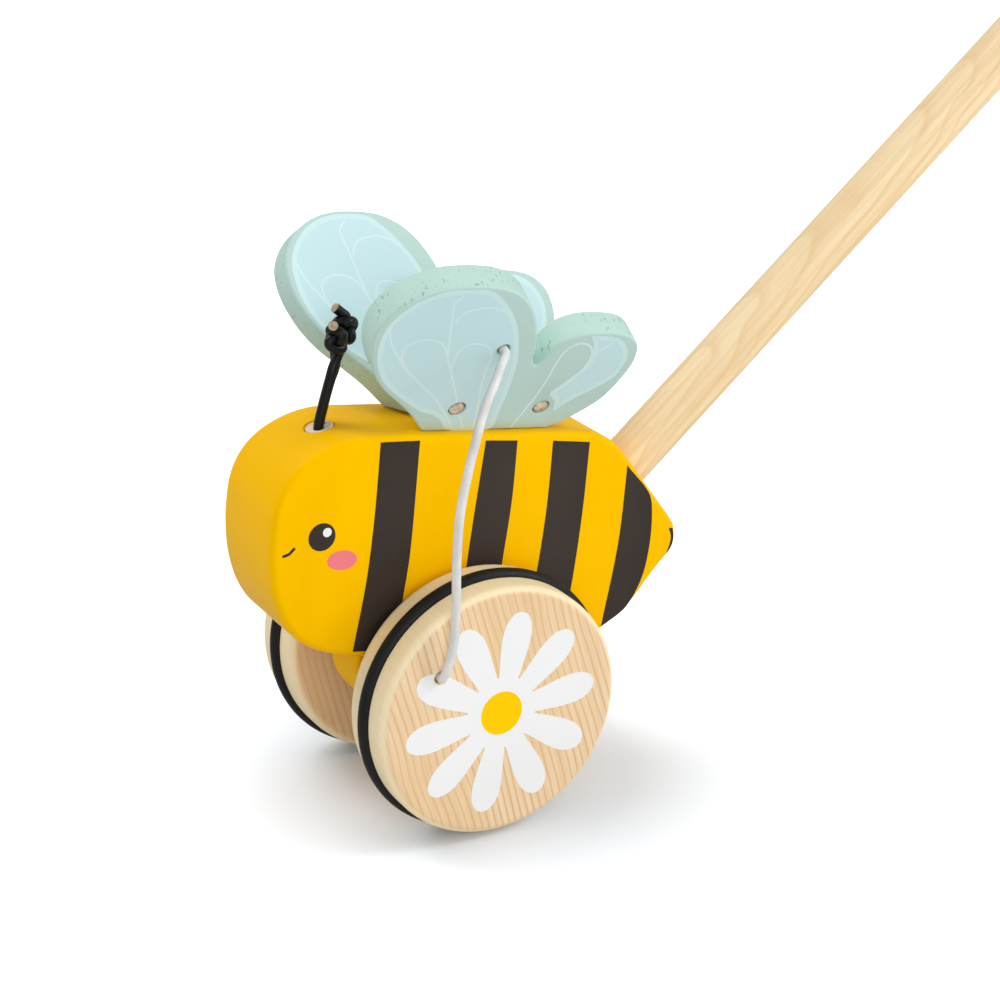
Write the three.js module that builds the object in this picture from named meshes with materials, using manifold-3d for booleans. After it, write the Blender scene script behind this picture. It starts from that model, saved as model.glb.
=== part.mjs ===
// A wooden bee on two wheels that is pushed along by a stick. The wheels pull an elastic cord
// on each side, and the cords make the wings flap.
// Millimetres, +Z up, head towards -X, the bee's left flank towards -Y. Everything is drawn
// about the middle of the axle, and the whole is put on its ground at the end.
import * as THREE from "three";
import { mergeVertices } from "three/addons/utils/BufferGeometryUtils.js";
import Module from "manifold-3d";

// Clearances
const fitGap = 0.3; // between pieces that are glued or pressed together
const runGap = 0.4; // around the axle, which turns

// Body, drawn level and then pitched nose up about the axle
const bodyLength = 141.7;
const bodyHeight = 69.3;
const bodyThick = 35;
const bodyEdge = 2.4; // rounding of the flank's edge
const bodyAhead = 69.4; // nose ahead of the axle
const bodyAbove = 10; // underside above the axle
const bodyPitch = 8.6; // degrees

// Outline of the body: shares of its length from the nose, and of its height from its underside
const headShares = [
  [0.236, 1], [0.172, 0.993], [0.112, 0.957], [0.059, 0.892], [0.024, 0.811], [0.004, 0.707],
  [0, 0.592], [0.004, 0.469], [0.017, 0.339], [0.042, 0.216], [0.078, 0.118], [0.126, 0.056],
  [0.186, 0.019], [0.25, 0],
];
const tailShares = [
  [0.772, 0], [0.811, 0.017], [0.846, 0.056], [0.884, 0.114], [0.916, 0.185], [0.943, 0.268],
  [0.97, 0.346], [0.992, 0.403], [1, 0.469], [0.995, 0.531], [0.979, 0.576],
];
const rumpShares = [[0.825, 0.9], [0.792, 0.951], [0.747, 0.986], [0.687, 1]];

// Axle block under the body
const blockLength = 64.4;
const blockDepth = 25;
const blockThick = 18;
const blockEdge = 1.2;
// Front half of its outline: shares of its length, and of its depth from its underside
const blockShares = [
  [0, 1], [0.002, 0.732], [0.012, 0.58], [0.034, 0.456], [0.065, 0.344], [0.102, 0.248],
  [0.154, 0.156], [0.228, 0.072], [0.329, 0.016], [0.5, 0],
];
const dowelRadius = 3;
const dowelLength = 24;
const dowelSpread = 44; // between the two dowels

// Wheels, tyres and axle
const wheelRadius = 40;
const wheelWidth = 22.6;
const wheelGap = 2.6; // body flank to wheel
const wheelOuterEdge = 2.8;
const wheelInnerEdge = 3.6;
const wheelSides = 48;
const tyreRadius = 2.5; // of the ring's round section
const tyreStand = 2; // how far the ring stands out of the tread
const axleRadius = 4;
const axleInWheel = 16;
const spacerWall = 4;
const pocketRadius = 7;
const pocketDepth = 13;
const cordHoleReach = 26.1; // from the wheel's middle to the cord's hole
const cordHoleTurn = 141; // degrees from the tail direction, upwards

// Wings: a plate with a fore lobe and a hind lobe, its underside bevelled to lie on the body
const wingBase = 44.4;
const wingHeight = 59;
const wingThick = 9.2;
const wingEdge = 0.9;
const wingBaseAt = 46.7; // front of the base, behind the nose
const wingSpread = 26; // between the lower outer edges of the two wings
const wingBevel = 30.5; // degrees, of the underside
const wingLeanLeft = 30.5; // degrees outwards from upright
const wingLeanRight = 33.5;
const wingFootSlope = 0.9; // how much the base's ends run in below it, as a share of the way down
// Outline from the rear of the base round to its front: shares of the base and of the height
const wingShares = [
  [1.054, 0.015], [1.137, 0.069], [1.302, 0.203], [1.372, 0.354], [1.394, 0.476], [1.358, 0.586],
  [1.268, 0.654], [1.155, 0.683], [0.962, 0.69], [0.86, 0.676], [0.748, 0.629], [0.691, 0.559],
  [0.66, 0.48], [0.628, 0.456], [0.592, 0.488], [0.568, 0.568], [0.538, 0.637], [0.471, 0.751],
  [0.385, 0.851], [0.297, 0.917], [0.198, 0.963], [0.092, 0.99], [-0.027, 1], [-0.14, 1],
  [-0.25, 0.992], [-0.363, 0.969], [-0.471, 0.925], [-0.556, 0.868], [-0.619, 0.798],
  [-0.655, 0.727], [-0.66, 0.649], [-0.64, 0.569], [-0.592, 0.476], [-0.507, 0.371],
  [-0.399, 0.281], [-0.275, 0.205], [-0.122, 0.103],
];
const flapHoleShares = [0.317, 0.576]; // where the flap cord passes the wing
const hingeHoleShares = [0.196, 0.845]; // front and rear hinge cords, along the base
const hingeHoleUp = 9; // above the wing's lower edge
const hingeCordRadius = 2.2;
const hingeHoleRadius = 2.6;

// Rib between the wings
const ribLength = 36.8;
const ribThick = 3.6;
const ribUp = 20;
const ribDeep = 3;
const ribHoleUp = 14.7;
const ribCorner = 6;

// Flap cords, from a knot in the wheel's pocket to a knot behind the wing
const flapCordRadius = 1.35;
const flapHoleRadius = 2;
const flapKnotRadius = 4;
const flapBowAhead = 12;
const flapBowReach = 5.3; // how far beyond the wheel's outer face the bow may come
const flapSteps = 48;
// Shares of the way from wheel to wing, of the bow ahead, and of the way out to the bow's reach
const flapShares = [
  [0.031, 0.05, 0.53], [0.075, 0.07, 0.69], [0.147, 0.16, 0.86], [0.249, 0.36, 0.93],
  [0.409, 0.7, 0.93], [0.563, 0.93, 0.89], [0.71, 0.97, 0.84], [0.789, 0.93, 0.79],
  [0.846, 0.87, 0.73], [0.889, 0.77, 0.66], [0.919, 0.62, 0.56], [0.945, 0.44, 0.44],
  [0.967, 0.27, 0.29],
];

// Antennae and the bush that holds them
const bushRadius = 4.25;
const bushDepth = 9;
const bushStand = 0.3;
const bushTilt = 18; // degrees, forwards
const bushAt = 20.1; // behind the nose
const bushDrop = 1.9; // middle of its face below the top of the body
const antennaRadius = 1.5;
const antennaStepAlong = 0.87; // from the bush's middle to each cord's
const antennaStepOut = 1.43;
const antennaHeight = 31;
const antennaSteps = 22;
const antennaKnotRadius = 3.8;
const antennaDeep = 6;
// Shares of the height: along, outwards and up from the bush; the last but one is the knot
const antennaNearShares = [
  [-0.014, 0.055, 0.198], [0.002, 0.061, 0.323], [0.02, 0.068, 0.445], [0.044, 0.074, 0.597],
  [0.06, 0.081, 0.727], [0.029, 0.09, 0.899], [-0.056, 0.168, 0.986],
];
const antennaFarShares = [
  [0.046, 0.041, 0.198], [0.062, 0.035, 0.323], [0.08, 0.028, 0.445], [0.116, 0.032, 0.597],
  [0.171, 0.042, 0.742], [0.254, 0.058, 0.93], [0.102, 0.081, 1.1],
];

// Handle
const handleRadius = 8.2;
const handleOut = 450; // length outside the body
const handleInBody = 36;
const handleTilt = 48; // degrees above the level body
const handleEntryShares = [0.9005, 0.7258]; // where it meets the tail's slope
const handleSides = 32;
const knobRadius = 20;
const knobBore = 22;

const wood = { color: 0xe8cfa2, roughness: 0.6, metalness: 0 };
const yellow = { color: 0xf6bf00, roughness: 0.42, metalness: 0 };
const sage = { color: 0xb2d2c8, roughness: 0.55, metalness: 0 };
const rubber = { color: 0x1c1b1c, roughness: 0.5, metalness: 0 };
const blackCord = { color: 0x201e1e, roughness: 0.55, metalness: 0 };
const whiteCord = { color: 0xd6d9dc, roughness: 0.7, metalness: 0 };
const cotton = { color: 0xd9c3a0, roughness: 0.9, metalness: 0 };
const bushWood = { color: 0xecdcbc, roughness: 0.6, metalness: 0 };

const left = -1;
const right = 1;
const radians = THREE.MathUtils.degToRad;
const bodyTop = bodyAbove + bodyHeight;
const wheelInner = bodyThick / 2 + wheelGap;
const wheelOuter = wheelInner + wheelWidth;
const across = new THREE.Vector3(0, 1, 0);
const along = new THREE.Vector3(1, 0, 0);
const upward = new THREE.Vector3(0, 0, 1);

const manifold = await Module();
manifold.setup();
const toy = new THREE.Group();
toy.name = "bee_push_toy";

function point(x, y, z) {
  return new THREE.Vector3(x, y, z);
}

// A closed solid from a geometry, turned right side out when it's inside out
function solid(geometry) {
  const bare = geometry.index ? geometry.toNonIndexed() : geometry.clone();
  bare.deleteAttribute("normal");
  bare.deleteAttribute("uv");
  const merged = mergeVertices(bare, fitGap / 1000);
  const corners = merged.attributes.position;
  const faces = [];
  let volume = 0;
  for (let i = 0; i < merged.index.count; i += 3) {
    const [a, b, c] = [0, 1, 2].map((k) => merged.index.getX(i + k));
    if (a === b || b === c || c === a) continue;
    const [p, q, r] = [a, b, c].map((k) => new THREE.Vector3().fromBufferAttribute(corners, k));
    volume += p.dot(q.cross(r));
    faces.push(a, b, c);
  }
  if (volume < 0) faces.reverse();
  return new manifold.Manifold(new manifold.Mesh({
    numProp: 3,
    vertProperties: new Float32Array(corners.array),
    triVerts: new Uint32Array(faces),
  }));
}

function geometryOf(body) {
  const mesh = body.getMesh();
  const geometry = new THREE.BufferGeometry();
  geometry.setAttribute("position", new THREE.BufferAttribute(mesh.vertProperties, mesh.numProp));
  geometry.setIndex(new THREE.BufferAttribute(mesh.triVerts, 1));
  return geometry;
}

function cut(geometry, ...tools) {
  return geometryOf(tools.reduce((body, tool) => body.subtract(solid(tool)), solid(geometry)));
}

function join(geometry, ...others) {
  return geometryOf(others.reduce((body, other) => body.add(solid(other)), solid(geometry)));
}

function add(name, geometry, look) {
  const shown = geometry.index ? geometry.toNonIndexed() : geometry;
  shown.computeVertexNormals();
  const mesh = new THREE.Mesh(shown, new THREE.MeshStandardMaterial(look));
  mesh.name = name;
  toy.add(mesh);
}

// A round bar between two points
function bar(from, to, radius, sides = 24) {
  const way = to.clone().sub(from);
  const geometry = new THREE.CylinderGeometry(radius, radius, way.length(), sides);
  geometry.applyQuaternion(new THREE.Quaternion().setFromUnitVectors(across, way.normalize()));
  const middle = from.clone().add(to).divideScalar(2);
  return geometry.translate(...middle.toArray());
}

function roundShape(radius, sides) {
  const shape = new THREE.Shape();
  for (let i = 0; i < sides; i += 1) {
    const turn = (i / sides) * Math.PI * 2;
    const [x, y] = [radius * Math.cos(turn), radius * Math.sin(turn)];
    if (i === 0) shape.moveTo(x, y);
    else shape.lineTo(x, y);
  }
  shape.closePath();
  return shape;
}

// A cord through the given points
function cord(points, radius, steps) {
  const path = new THREE.CatmullRomCurve3(points, false, "centripetal");
  return new THREE.ExtrudeGeometry(roundShape(radius, 8), { steps, extrudePath: path });
}

function ball(middle, radius) {
  return new THREE.SphereGeometry(radius, 12, 8).translate(...middle.toArray());
}

// A flat shape as a slab with rounded edges, from zero to the given depth
function slab(shape, depth, edge, curveSegments, bevelSegments) {
  const geometry = new THREE.ExtrudeGeometry(shape, {
    depth: depth - 2 * edge,
    curveSegments,
    bevelThickness: edge,
    bevelSize: edge,
    bevelOffset: -edge,
    bevelSegments,
  });
  return geometry.translate(0, 0, edge);
}

function pitched(geometry) {
  return geometry.rotateY(radians(bodyPitch));
}

function pitchedPoint(spot) {
  return spot.clone().applyAxisAngle(across, radians(bodyPitch));
}

// Body: a point of its outline, in the level body's plane
function onBody([alongShare, upShare]) {
  return new THREE.Vector2(alongShare * bodyLength - bodyAhead, bodyAbove + upShare * bodyHeight);
}

function bodyShape() {
  const [head, tail, rump] = [headShares, tailShares, rumpShares].map((t) => t.map(onBody));
  const shape = new THREE.Shape();
  shape.moveTo(head[0].x, head[0].y);
  shape.splineThru(head.slice(1));
  shape.lineTo(tail[0].x, tail[0].y);
  shape.splineThru(tail.slice(1));
  shape.lineTo(rump[0].x, rump[0].y);
  shape.splineThru(rump.slice(1));
  shape.closePath();
  return shape;
}

// Handle
const handleWay = point(Math.cos(radians(handleTilt)), 0, Math.sin(radians(handleTilt)));
const entry = onBody(handleEntryShares);
const handleEntry = point(entry.x, 0, entry.y);
const handleFoot = handleEntry.clone().addScaledVector(handleWay, -handleInBody);
const handleEnd = handleEntry.clone().addScaledVector(handleWay, handleOut);
const socketFoot = handleFoot.clone().addScaledVector(handleWay, -fitGap);
const socketMouth = handleEntry.clone().addScaledVector(handleWay, handleInBody);

// Bush and antennae
const bushFace = point(bushAt - bodyAhead, 0, bodyTop - bushDrop);
const bushWay = upward.clone().applyAxisAngle(across, -radians(bushTilt));
const bushTop = bushFace.clone().addScaledVector(bushWay, bushStand);
const bushFoot = bushTop.clone().addScaledVector(bushWay, -bushDepth);

function antennaPoints(table, side) {
  const step = point(side * antennaStepAlong, side * antennaStepOut, 0);
  const foot = bushTop.clone().add(step);
  const route = [foot.clone().addScaledVector(bushWay, -antennaDeep), foot];
  for (const [ahead, out, up] of table) {
    const offset = point(ahead, side * out, up).multiplyScalar(antennaHeight);
    route.push(bushTop.clone().add(offset));
  }
  return route;
}

// Rib and hinge cords
const wingFront = wingBaseAt - bodyAhead;
const hingeAlong = hingeHoleShares.map((share) => wingFront + share * wingBase);
const ribMiddle = (hingeAlong[0] + hingeAlong[1]) / 2;
const hingeHeight = bodyTop + ribHoleUp;

function ribShape() {
  const shape = new THREE.Shape();
  const half = ribLength / 2;
  shape.moveTo(-half, -ribDeep);
  shape.lineTo(half, -ribDeep);
  shape.lineTo(half, ribUp - ribCorner);
  shape.quadraticCurveTo(half, ribUp, half - ribCorner, ribUp);
  shape.lineTo(ribCorner - half, ribUp);
  shape.quadraticCurveTo(-half, ribUp, -half, ribUp - ribCorner);
  shape.closePath();
  return shape;
}

function ribBody(grow) {
  const geometry = new THREE.ExtrudeGeometry(ribShape(), {
    depth: ribThick + 2 * grow,
    bevelEnabled: false,
    curveSegments: 6,
  });
  geometry.rotateX(Math.PI / 2).translate(ribMiddle, ribThick / 2 + grow, bodyTop);
  return geometry;
}

// A wing's own directions: up its plate, and from its outer face inwards
function wingFrame(side) {
  const lean = radians(side === left ? wingLeanLeft : wingLeanRight);
  const up = point(0, side * Math.sin(lean), Math.cos(lean));
  const inward = point(0, -side * Math.cos(lean), Math.sin(lean));
  const foot = point(wingFront, side * wingSpread / 2, bodyTop + fitGap);
  return { up, inward, foot };
}

// A spot of the wing, given along its base, up its outer face and in from that face
function onWing(side, alongBase, upPlate, depth) {
  const { up, inward, foot } = wingFrame(side);
  return foot.clone().addScaledVector(along, alongBase).addScaledVector(up, upPlate)
    .addScaledVector(inward, depth);
}

// The outline is carried on below the base, as far as the bevel needs and a little more
function wingShape() {
  const down = wingThick * Math.tan(radians(wingBevel)) + 2 * wingEdge;
  const shape = new THREE.Shape();
  shape.moveTo(wingFootSlope * down, -down);
  shape.lineTo(wingBase - wingFootSlope * down, -down);
  shape.lineTo(wingBase, 0);
  shape.splineThru(wingShares.map(([x, y]) => new THREE.Vector2(x * wingBase, y * wingHeight)));
  shape.lineTo(0, 0);
  shape.closePath();
  return shape;
}

// All that lies under the bevel, in the flat wing's frame
function wingUnderside(side) {
  const block = new THREE.BoxGeometry(2 * wingBase, wingHeight, wingHeight);
  block.translate(wingBase / 2, -wingHeight / 2, 0);
  block.rotateX(side * radians(wingBevel));
  return block.translate(0, 0, side === left ? wingThick : 0);
}

const flapAlong = flapHoleShares[0] * wingBase;
const flapUp = flapHoleShares[1] * wingHeight;

function wing(side) {
  const { up, inward, foot } = wingFrame(side);
  const plate = slab(wingShape(), wingThick, wingEdge, 2, 1);
  const spots = [[flapAlong, flapUp, flapHoleRadius]];
  for (const share of hingeHoleShares) {
    spots.push([share * wingBase, hingeHoleUp, hingeHoleRadius]);
  }
  const holes = spots.map(([x, y, radius]) => (
    bar(point(x, y, -wingThick), point(x, y, 2 * wingThick), radius, 20)));
  const drilled = cut(plate, wingUnderside(side), ...holes);
  const normal = along.clone().cross(up);
  const basis = new THREE.Matrix4().makeBasis(along, up, normal);
  const start = foot.clone();
  if (side === left) start.addScaledVector(inward, wingThick);
  return drilled.applyMatrix4(basis).translate(...start.toArray());
}

// The cord that runs from the left wing's outer face through the rib to the right wing's
function hingeCord(index) {
  const x = hingeHoleShares[index] * wingBase;
  const route = [];
  for (const side of [left, right]) {
    const half = [fitGap, wingThick / 2, wingThick, wingThick + hingeCordRadius / 2]
      .map((depth) => onWing(side, x, hingeHoleUp, depth));
    half.push(point(hingeAlong[index], side * (ribThick / 2 + hingeCordRadius / 2), hingeHeight));
    if (side === left) route.push(...half, point(hingeAlong[index], 0, hingeHeight));
    else route.push(...half.reverse());
  }
  return cord(route, hingeCordRadius, 30);
}

// Where the flap cord passes the wheel
const cordTurn = radians(cordHoleTurn);
const wheelHole = point(cordHoleReach * Math.cos(cordTurn), 0, cordHoleReach * Math.sin(cordTurn));

function flapCord(side) {
  const onWheel = (distance) => wheelHole.clone().addScaledVector(across, side * distance);
  const onPlate = (depth) => pitchedPoint(onWing(side, flapAlong, flapUp, depth));
  const wheelKnot = onWheel(wheelInner + pocketDepth / 2);
  const wingKnot = onPlate(wingThick + flapKnotRadius + fitGap);
  const wheelExit = onWheel(wheelOuter);
  const wingExit = onPlate(0);
  const route = [wheelKnot, onWheel(wheelOuter - flapCordRadius), wheelExit];
  route.push(onWheel(wheelOuter + flapCordRadius / 2));
  for (const [share, ahead, out] of flapShares) {
    const spot = wheelExit.clone().lerp(wingExit, share);
    spot.x -= ahead * flapBowAhead;
    spot.y = THREE.MathUtils.lerp(spot.y, side * (wheelOuter + flapBowReach), out);
    route.push(spot);
  }
  route.push(onPlate(-flapCordRadius), wingExit, onPlate(flapCordRadius), wingKnot);
  const run = cord(route, flapCordRadius, flapSteps);
  return join(run, ball(wheelKnot, flapKnotRadius), ball(wingKnot, flapKnotRadius));
}

function wheelProfile() {
  const profile = [new THREE.Vector2(0, axleInWheel + fitGap)];
  const to = (radius, y) => profile.push(new THREE.Vector2(radius, y));
  const quarter = (radius, y, edge, from) => {
    for (let i = 0; i <= 3; i += 1) {
      const turn = from + (i / 3) * (Math.PI / 2);
      to(radius + edge * Math.cos(turn), y + edge * Math.sin(turn));
    }
  };
  const bore = axleRadius + fitGap;
  const ringMiddle = wheelRadius + tyreStand - tyreRadius;
  const groove = tyreRadius + fitGap;
  const start = Math.acos((wheelRadius - ringMiddle) / groove);
  to(bore, axleInWheel + fitGap);
  to(bore, 0);
  quarter(wheelRadius - wheelInnerEdge, wheelInnerEdge, wheelInnerEdge, -Math.PI / 2);
  const count = 5;
  for (let i = 0; i <= count; i += 1) {
    const turn = -start - (i / count) * (2 * Math.PI - 2 * start);
    to(ringMiddle + groove * Math.cos(turn), wheelWidth / 2 + groove * Math.sin(turn));
  }
  quarter(wheelRadius - wheelOuterEdge, wheelWidth - wheelOuterEdge, wheelOuterEdge, 0);
  to(0, wheelWidth);
  return profile;
}

function wheel(side) {
  const turned = new THREE.LatheGeometry(wheelProfile(), wheelSides);
  if (side === left) turned.rotateZ(Math.PI);
  turned.translate(0, side * wheelInner, 0);
  const spot = (distance) => wheelHole.clone().addScaledVector(across, side * distance);
  const hole = bar(spot(wheelInner - wheelGap), spot(wheelOuter + wheelGap), flapHoleRadius, 20);
  const pocketStart = spot(wheelInner - wheelGap);
  return cut(turned, hole, bar(pocketStart, spot(wheelInner + pocketDepth), pocketRadius));
}

// Two rings that slide on the axle, as closed profiles turned about it
function spacer(side) {
  const inner = axleRadius + runGap;
  const outer = inner + spacerWall;
  const from = blockThick / 2 + fitGap;
  const to = wheelInner - fitGap;
  const corners = [[inner, from], [outer, from], [outer, to], [inner, to], [inner, from]];
  const profile = corners.map(([radius, y]) => new THREE.Vector2(radius, y));
  const ring = new THREE.LatheGeometry(profile, 24);
  if (side === left) ring.rotateZ(Math.PI);
  return geometryOf(solid(ring));
}

// Axle block
function blockShape() {
  const front = blockShares.map(([x, y]) => [x, y]);
  const rear = blockShares.slice(0, -1).reverse().map(([x, y]) => [1 - x, y]);
  const top = bodyAbove - fitGap;
  const spots = [...front, ...rear].map(([x, y]) => (
    new THREE.Vector2((x - 0.5) * blockLength, top - blockDepth + y * blockDepth)));
  const shape = new THREE.Shape();
  shape.moveTo(spots[0].x, spots[0].y);
  shape.splineThru(spots.slice(1));
  shape.closePath();
  return shape;
}

const dowelSpots = [-dowelSpread / 2, dowelSpread / 2];
const dowelMiddle = bodyAbove;
function dowel(x, grow) {
  const half = dowelLength / 2 + grow;
  return bar(point(x, 0, dowelMiddle - half), point(x, 0, dowelMiddle + half), dowelRadius + grow);
}

// Upright slabs are drawn flat, then stood up across the toy's width
function stand(geometry, thick) {
  return geometry.rotateX(Math.PI / 2).translate(0, thick / 2, 0);
}

// The body with its socket, bush recess, rib groove and dowel holes
const bodySlab = stand(slab(bodyShape(), bodyThick, bodyEdge, 2, 3), bodyThick);
const body = cut(
  bodySlab,
  bar(socketFoot, socketMouth, handleRadius + fitGap, handleSides),
  bar(
    bushFoot.clone().addScaledVector(bushWay, -fitGap),
    bushTop.clone().addScaledVector(bushWay, bushDepth),
    bushRadius + fitGap,
  ),
  ribBody(fitGap).translate(0, 0, -fitGap),
  ...dowelSpots.map((x) => dowel(x, fitGap)),
);
add("body_block", pitched(body), yellow);

const blockSlab = stand(slab(blockShape(), blockThick, blockEdge, 2, 2), blockThick);
const axleBore = bar(point(0, -blockThick, 0), point(0, blockThick, 0), axleRadius + runGap);
const block = cut(blockSlab, axleBore, ...dowelSpots.map((x) => dowel(x, fitGap)));
add("axle_block", pitched(block), yellow);
add("block_dowel_front", pitched(dowel(dowelSpots[0], 0)), wood);
add("block_dowel_rear", pitched(dowel(dowelSpots[1], 0)), wood);

const axleHalf = wheelInner + axleInWheel;
add("axle_rod", bar(point(0, -axleHalf, 0), point(0, axleHalf, 0), axleRadius), wood);

for (const [side, label] of [[left, "left"], [right, "right"]]) {
  add(`wheel_${label}`, wheel(side), wood);
  const ring = new THREE.TorusGeometry(
    wheelRadius + tyreStand - tyreRadius,
    tyreRadius,
    8,
    wheelSides,
  );
  ring.rotateX(Math.PI / 2).translate(0, side * (wheelInner + wheelWidth / 2), 0);
  add(`tyre_${label}`, ring, rubber);
  add(`spacer_${label}`, spacer(side), wood);
  add(`wing_${label}`, pitched(wing(side)), sage);
  add(`flap_cord_${label}`, flapCord(side), whiteCord);
}

const ribHoles = hingeAlong.map((x) => (
  bar(point(x, -ribThick, hingeHeight), point(x, ribThick, hingeHeight), hingeHoleRadius, 20)));
add("wing_rib", pitched(cut(ribBody(0), ...ribHoles)), yellow);
add("hinge_cord_front", pitched(hingeCord(0)), cotton);
add("hinge_cord_rear", pitched(hingeCord(1)), cotton);

// The bush, with a hole for each antenna; the two holes run together
const nearRoute = antennaPoints(antennaNearShares, left);
const farRoute = antennaPoints(antennaFarShares, right);
const cordHoles = [nearRoute, farRoute].map((route) => {
  const foot = route[1].clone();
  return bar(
    foot.clone().addScaledVector(bushWay, -bushDepth),
    foot.clone().addScaledVector(bushWay, bushDepth),
    antennaRadius + fitGap,
    16,
  );
});
add("antenna_bush", pitched(cut(bar(bushFoot, bushTop, bushRadius), ...cordHoles)), bushWood);

for (const [name, route] of [["antenna_cord_left", nearRoute], ["antenna_cord_right", farRoute]]) {
  const knot = ball(route[route.length - 2], antennaKnotRadius);
  const run = cord(route, antennaRadius, antennaSteps);
  add(name, pitched(join(run, knot)), blackCord);
}

// The handle and the ball on its free end
add("handle_dowel", pitched(bar(handleFoot, handleEnd, handleRadius, handleSides)), wood);
const knobMiddle = handleEnd.clone().addScaledVector(handleWay, knobRadius - knobBore);
const knobBoreEnd = handleEnd.clone().addScaledVector(handleWay, fitGap);
const knobBoreStart = handleEnd.clone().addScaledVector(handleWay, -2 * knobRadius);
const knobBall = new THREE.SphereGeometry(knobRadius, 24, 14).translate(...knobMiddle.toArray());
const knobHole = bar(knobBoreStart, knobBoreEnd, handleRadius + fitGap, handleSides);
add("handle_knob", pitched(cut(knobBall, knobHole)), wood);

// Put the toy on its ground, with the origin under the middle of its length
const extent = new THREE.Box3().setFromObject(toy);
const middle = extent.getCenter(new THREE.Vector3());
for (const mesh of toy.children) mesh.geometry.translate(-middle.x, 0, -extent.min.z);

export default toy;
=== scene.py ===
import math

import bmesh
import bpy
from mathutils import Matrix, Vector
from mathutils.geometry import delaunay_2d_cdt


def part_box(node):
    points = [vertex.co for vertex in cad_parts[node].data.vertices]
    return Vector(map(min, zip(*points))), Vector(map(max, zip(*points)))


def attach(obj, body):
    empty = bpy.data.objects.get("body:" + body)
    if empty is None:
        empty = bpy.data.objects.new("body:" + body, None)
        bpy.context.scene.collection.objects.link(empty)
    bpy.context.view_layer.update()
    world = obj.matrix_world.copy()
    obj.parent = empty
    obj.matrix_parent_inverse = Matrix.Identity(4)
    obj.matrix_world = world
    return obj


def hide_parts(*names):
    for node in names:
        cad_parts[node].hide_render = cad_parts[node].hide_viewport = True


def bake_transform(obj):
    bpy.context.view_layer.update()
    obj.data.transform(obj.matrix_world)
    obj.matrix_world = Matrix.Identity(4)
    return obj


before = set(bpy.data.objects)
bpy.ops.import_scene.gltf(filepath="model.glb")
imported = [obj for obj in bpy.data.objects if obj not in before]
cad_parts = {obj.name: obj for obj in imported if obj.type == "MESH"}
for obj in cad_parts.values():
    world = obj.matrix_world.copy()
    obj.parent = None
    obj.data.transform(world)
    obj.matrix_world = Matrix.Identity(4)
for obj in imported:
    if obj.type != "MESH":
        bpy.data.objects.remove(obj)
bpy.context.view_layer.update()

# Sizes are in millimetres, drawn about the middle of the axle with the body level. The wheels
# lie in the level frame, and the bee is pitched nose up about the axle.
MM = 0.001
LEFT, RIGHT = -1, 1
SIDES = ((LEFT, "left"), (RIGHT, "right"))
FIT_GAP = 0.3

# Camera, as the photograph was taken
CAMERA_AZIMUTH = -29.42
CAMERA_ELEVATION = 21.61
CAMERA_DISTANCE = 723
FOCAL_PIXELS = 2307
IMAGE_PIXELS = 1000
SENSOR_WIDTH = 36
AXLE_PIXEL = (434.5, 659.1)

# Body
BODY_LENGTH = 141.7
BODY_HEIGHT = 69.3
BODY_THICK = 35
BODY_EDGE = 2.4
BODY_AHEAD = 69.4
BODY_ABOVE = 10
BODY_PITCH = 8.6
BODY_TOP = BODY_ABOVE + BODY_HEIGHT
HEAD_SHARES = (
    (0.236, 1), (0.172, 0.993), (0.112, 0.957), (0.059, 0.892), (0.024, 0.811), (0.004, 0.707),
    (0, 0.592), (0.004, 0.469), (0.017, 0.339), (0.042, 0.216), (0.078, 0.118), (0.126, 0.056),
    (0.186, 0.019), (0.25, 0),
)
TAIL_SHARES = (
    (0.772, 0), (0.811, 0.017), (0.846, 0.056), (0.884, 0.114), (0.916, 0.185), (0.943, 0.268),
    (0.97, 0.346), (0.992, 0.403), (1, 0.469), (0.995, 0.531), (0.979, 0.576),
)
RUMP_SHARES = ((0.825, 0.9), (0.792, 0.951), (0.747, 0.986), (0.687, 1))

# Axle block
BLOCK_LENGTH = 64.4
BLOCK_DEPTH = 25
BLOCK_THICK = 18
BLOCK_EDGE = 1.2
BLOCK_SHARES = (
    (0, 1), (0.002, 0.732), (0.012, 0.58), (0.034, 0.456), (0.065, 0.344), (0.102, 0.248),
    (0.154, 0.156), (0.228, 0.072), (0.329, 0.016), (0.5, 0),
)

# Wheels and tyres
WHEEL_RADIUS = 40
WHEEL_WIDTH = 22.6
WHEEL_INNER = BODY_THICK / 2 + 2.6
WHEEL_OUTER = WHEEL_INNER + WHEEL_WIDTH
WHEEL_OUTER_EDGE = 2.8
WHEEL_INNER_EDGE = 3.6
SPACER_WALL = 4
SPACER_EDGE = 0.4
TYRE_RADIUS = 2.5
TYRE_STAND = 2
TYRE_SIDES = 24
TYRE_MIDDLE = WHEEL_RADIUS + TYRE_STAND - TYRE_RADIUS
AXLE_RADIUS = 4
AXLE_CLEARANCE = 0.4
AXLE_IN_WHEEL = 16
POCKET_RADIUS = 7
POCKET_DEPTH = 13
POCKET_FLARE = 0.8
CORD_HOLE_REACH = 26.1
CORD_HOLE_TURN = 141
DAISY_PETALS = 10
DAISY_TURN = 77.5
DAISY_HEART = 7
# Distance along a petal and half its width there
PETAL_SHAPE = (
    (11.2, 3.4), (14, 3.75), (17, 4.2), (20, 4.6), (23, 4.85), (26, 4.8), (28.5, 4.25),
    (30.5, 3.2), (31.8, 1.9), (32.4, 0),
)

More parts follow.
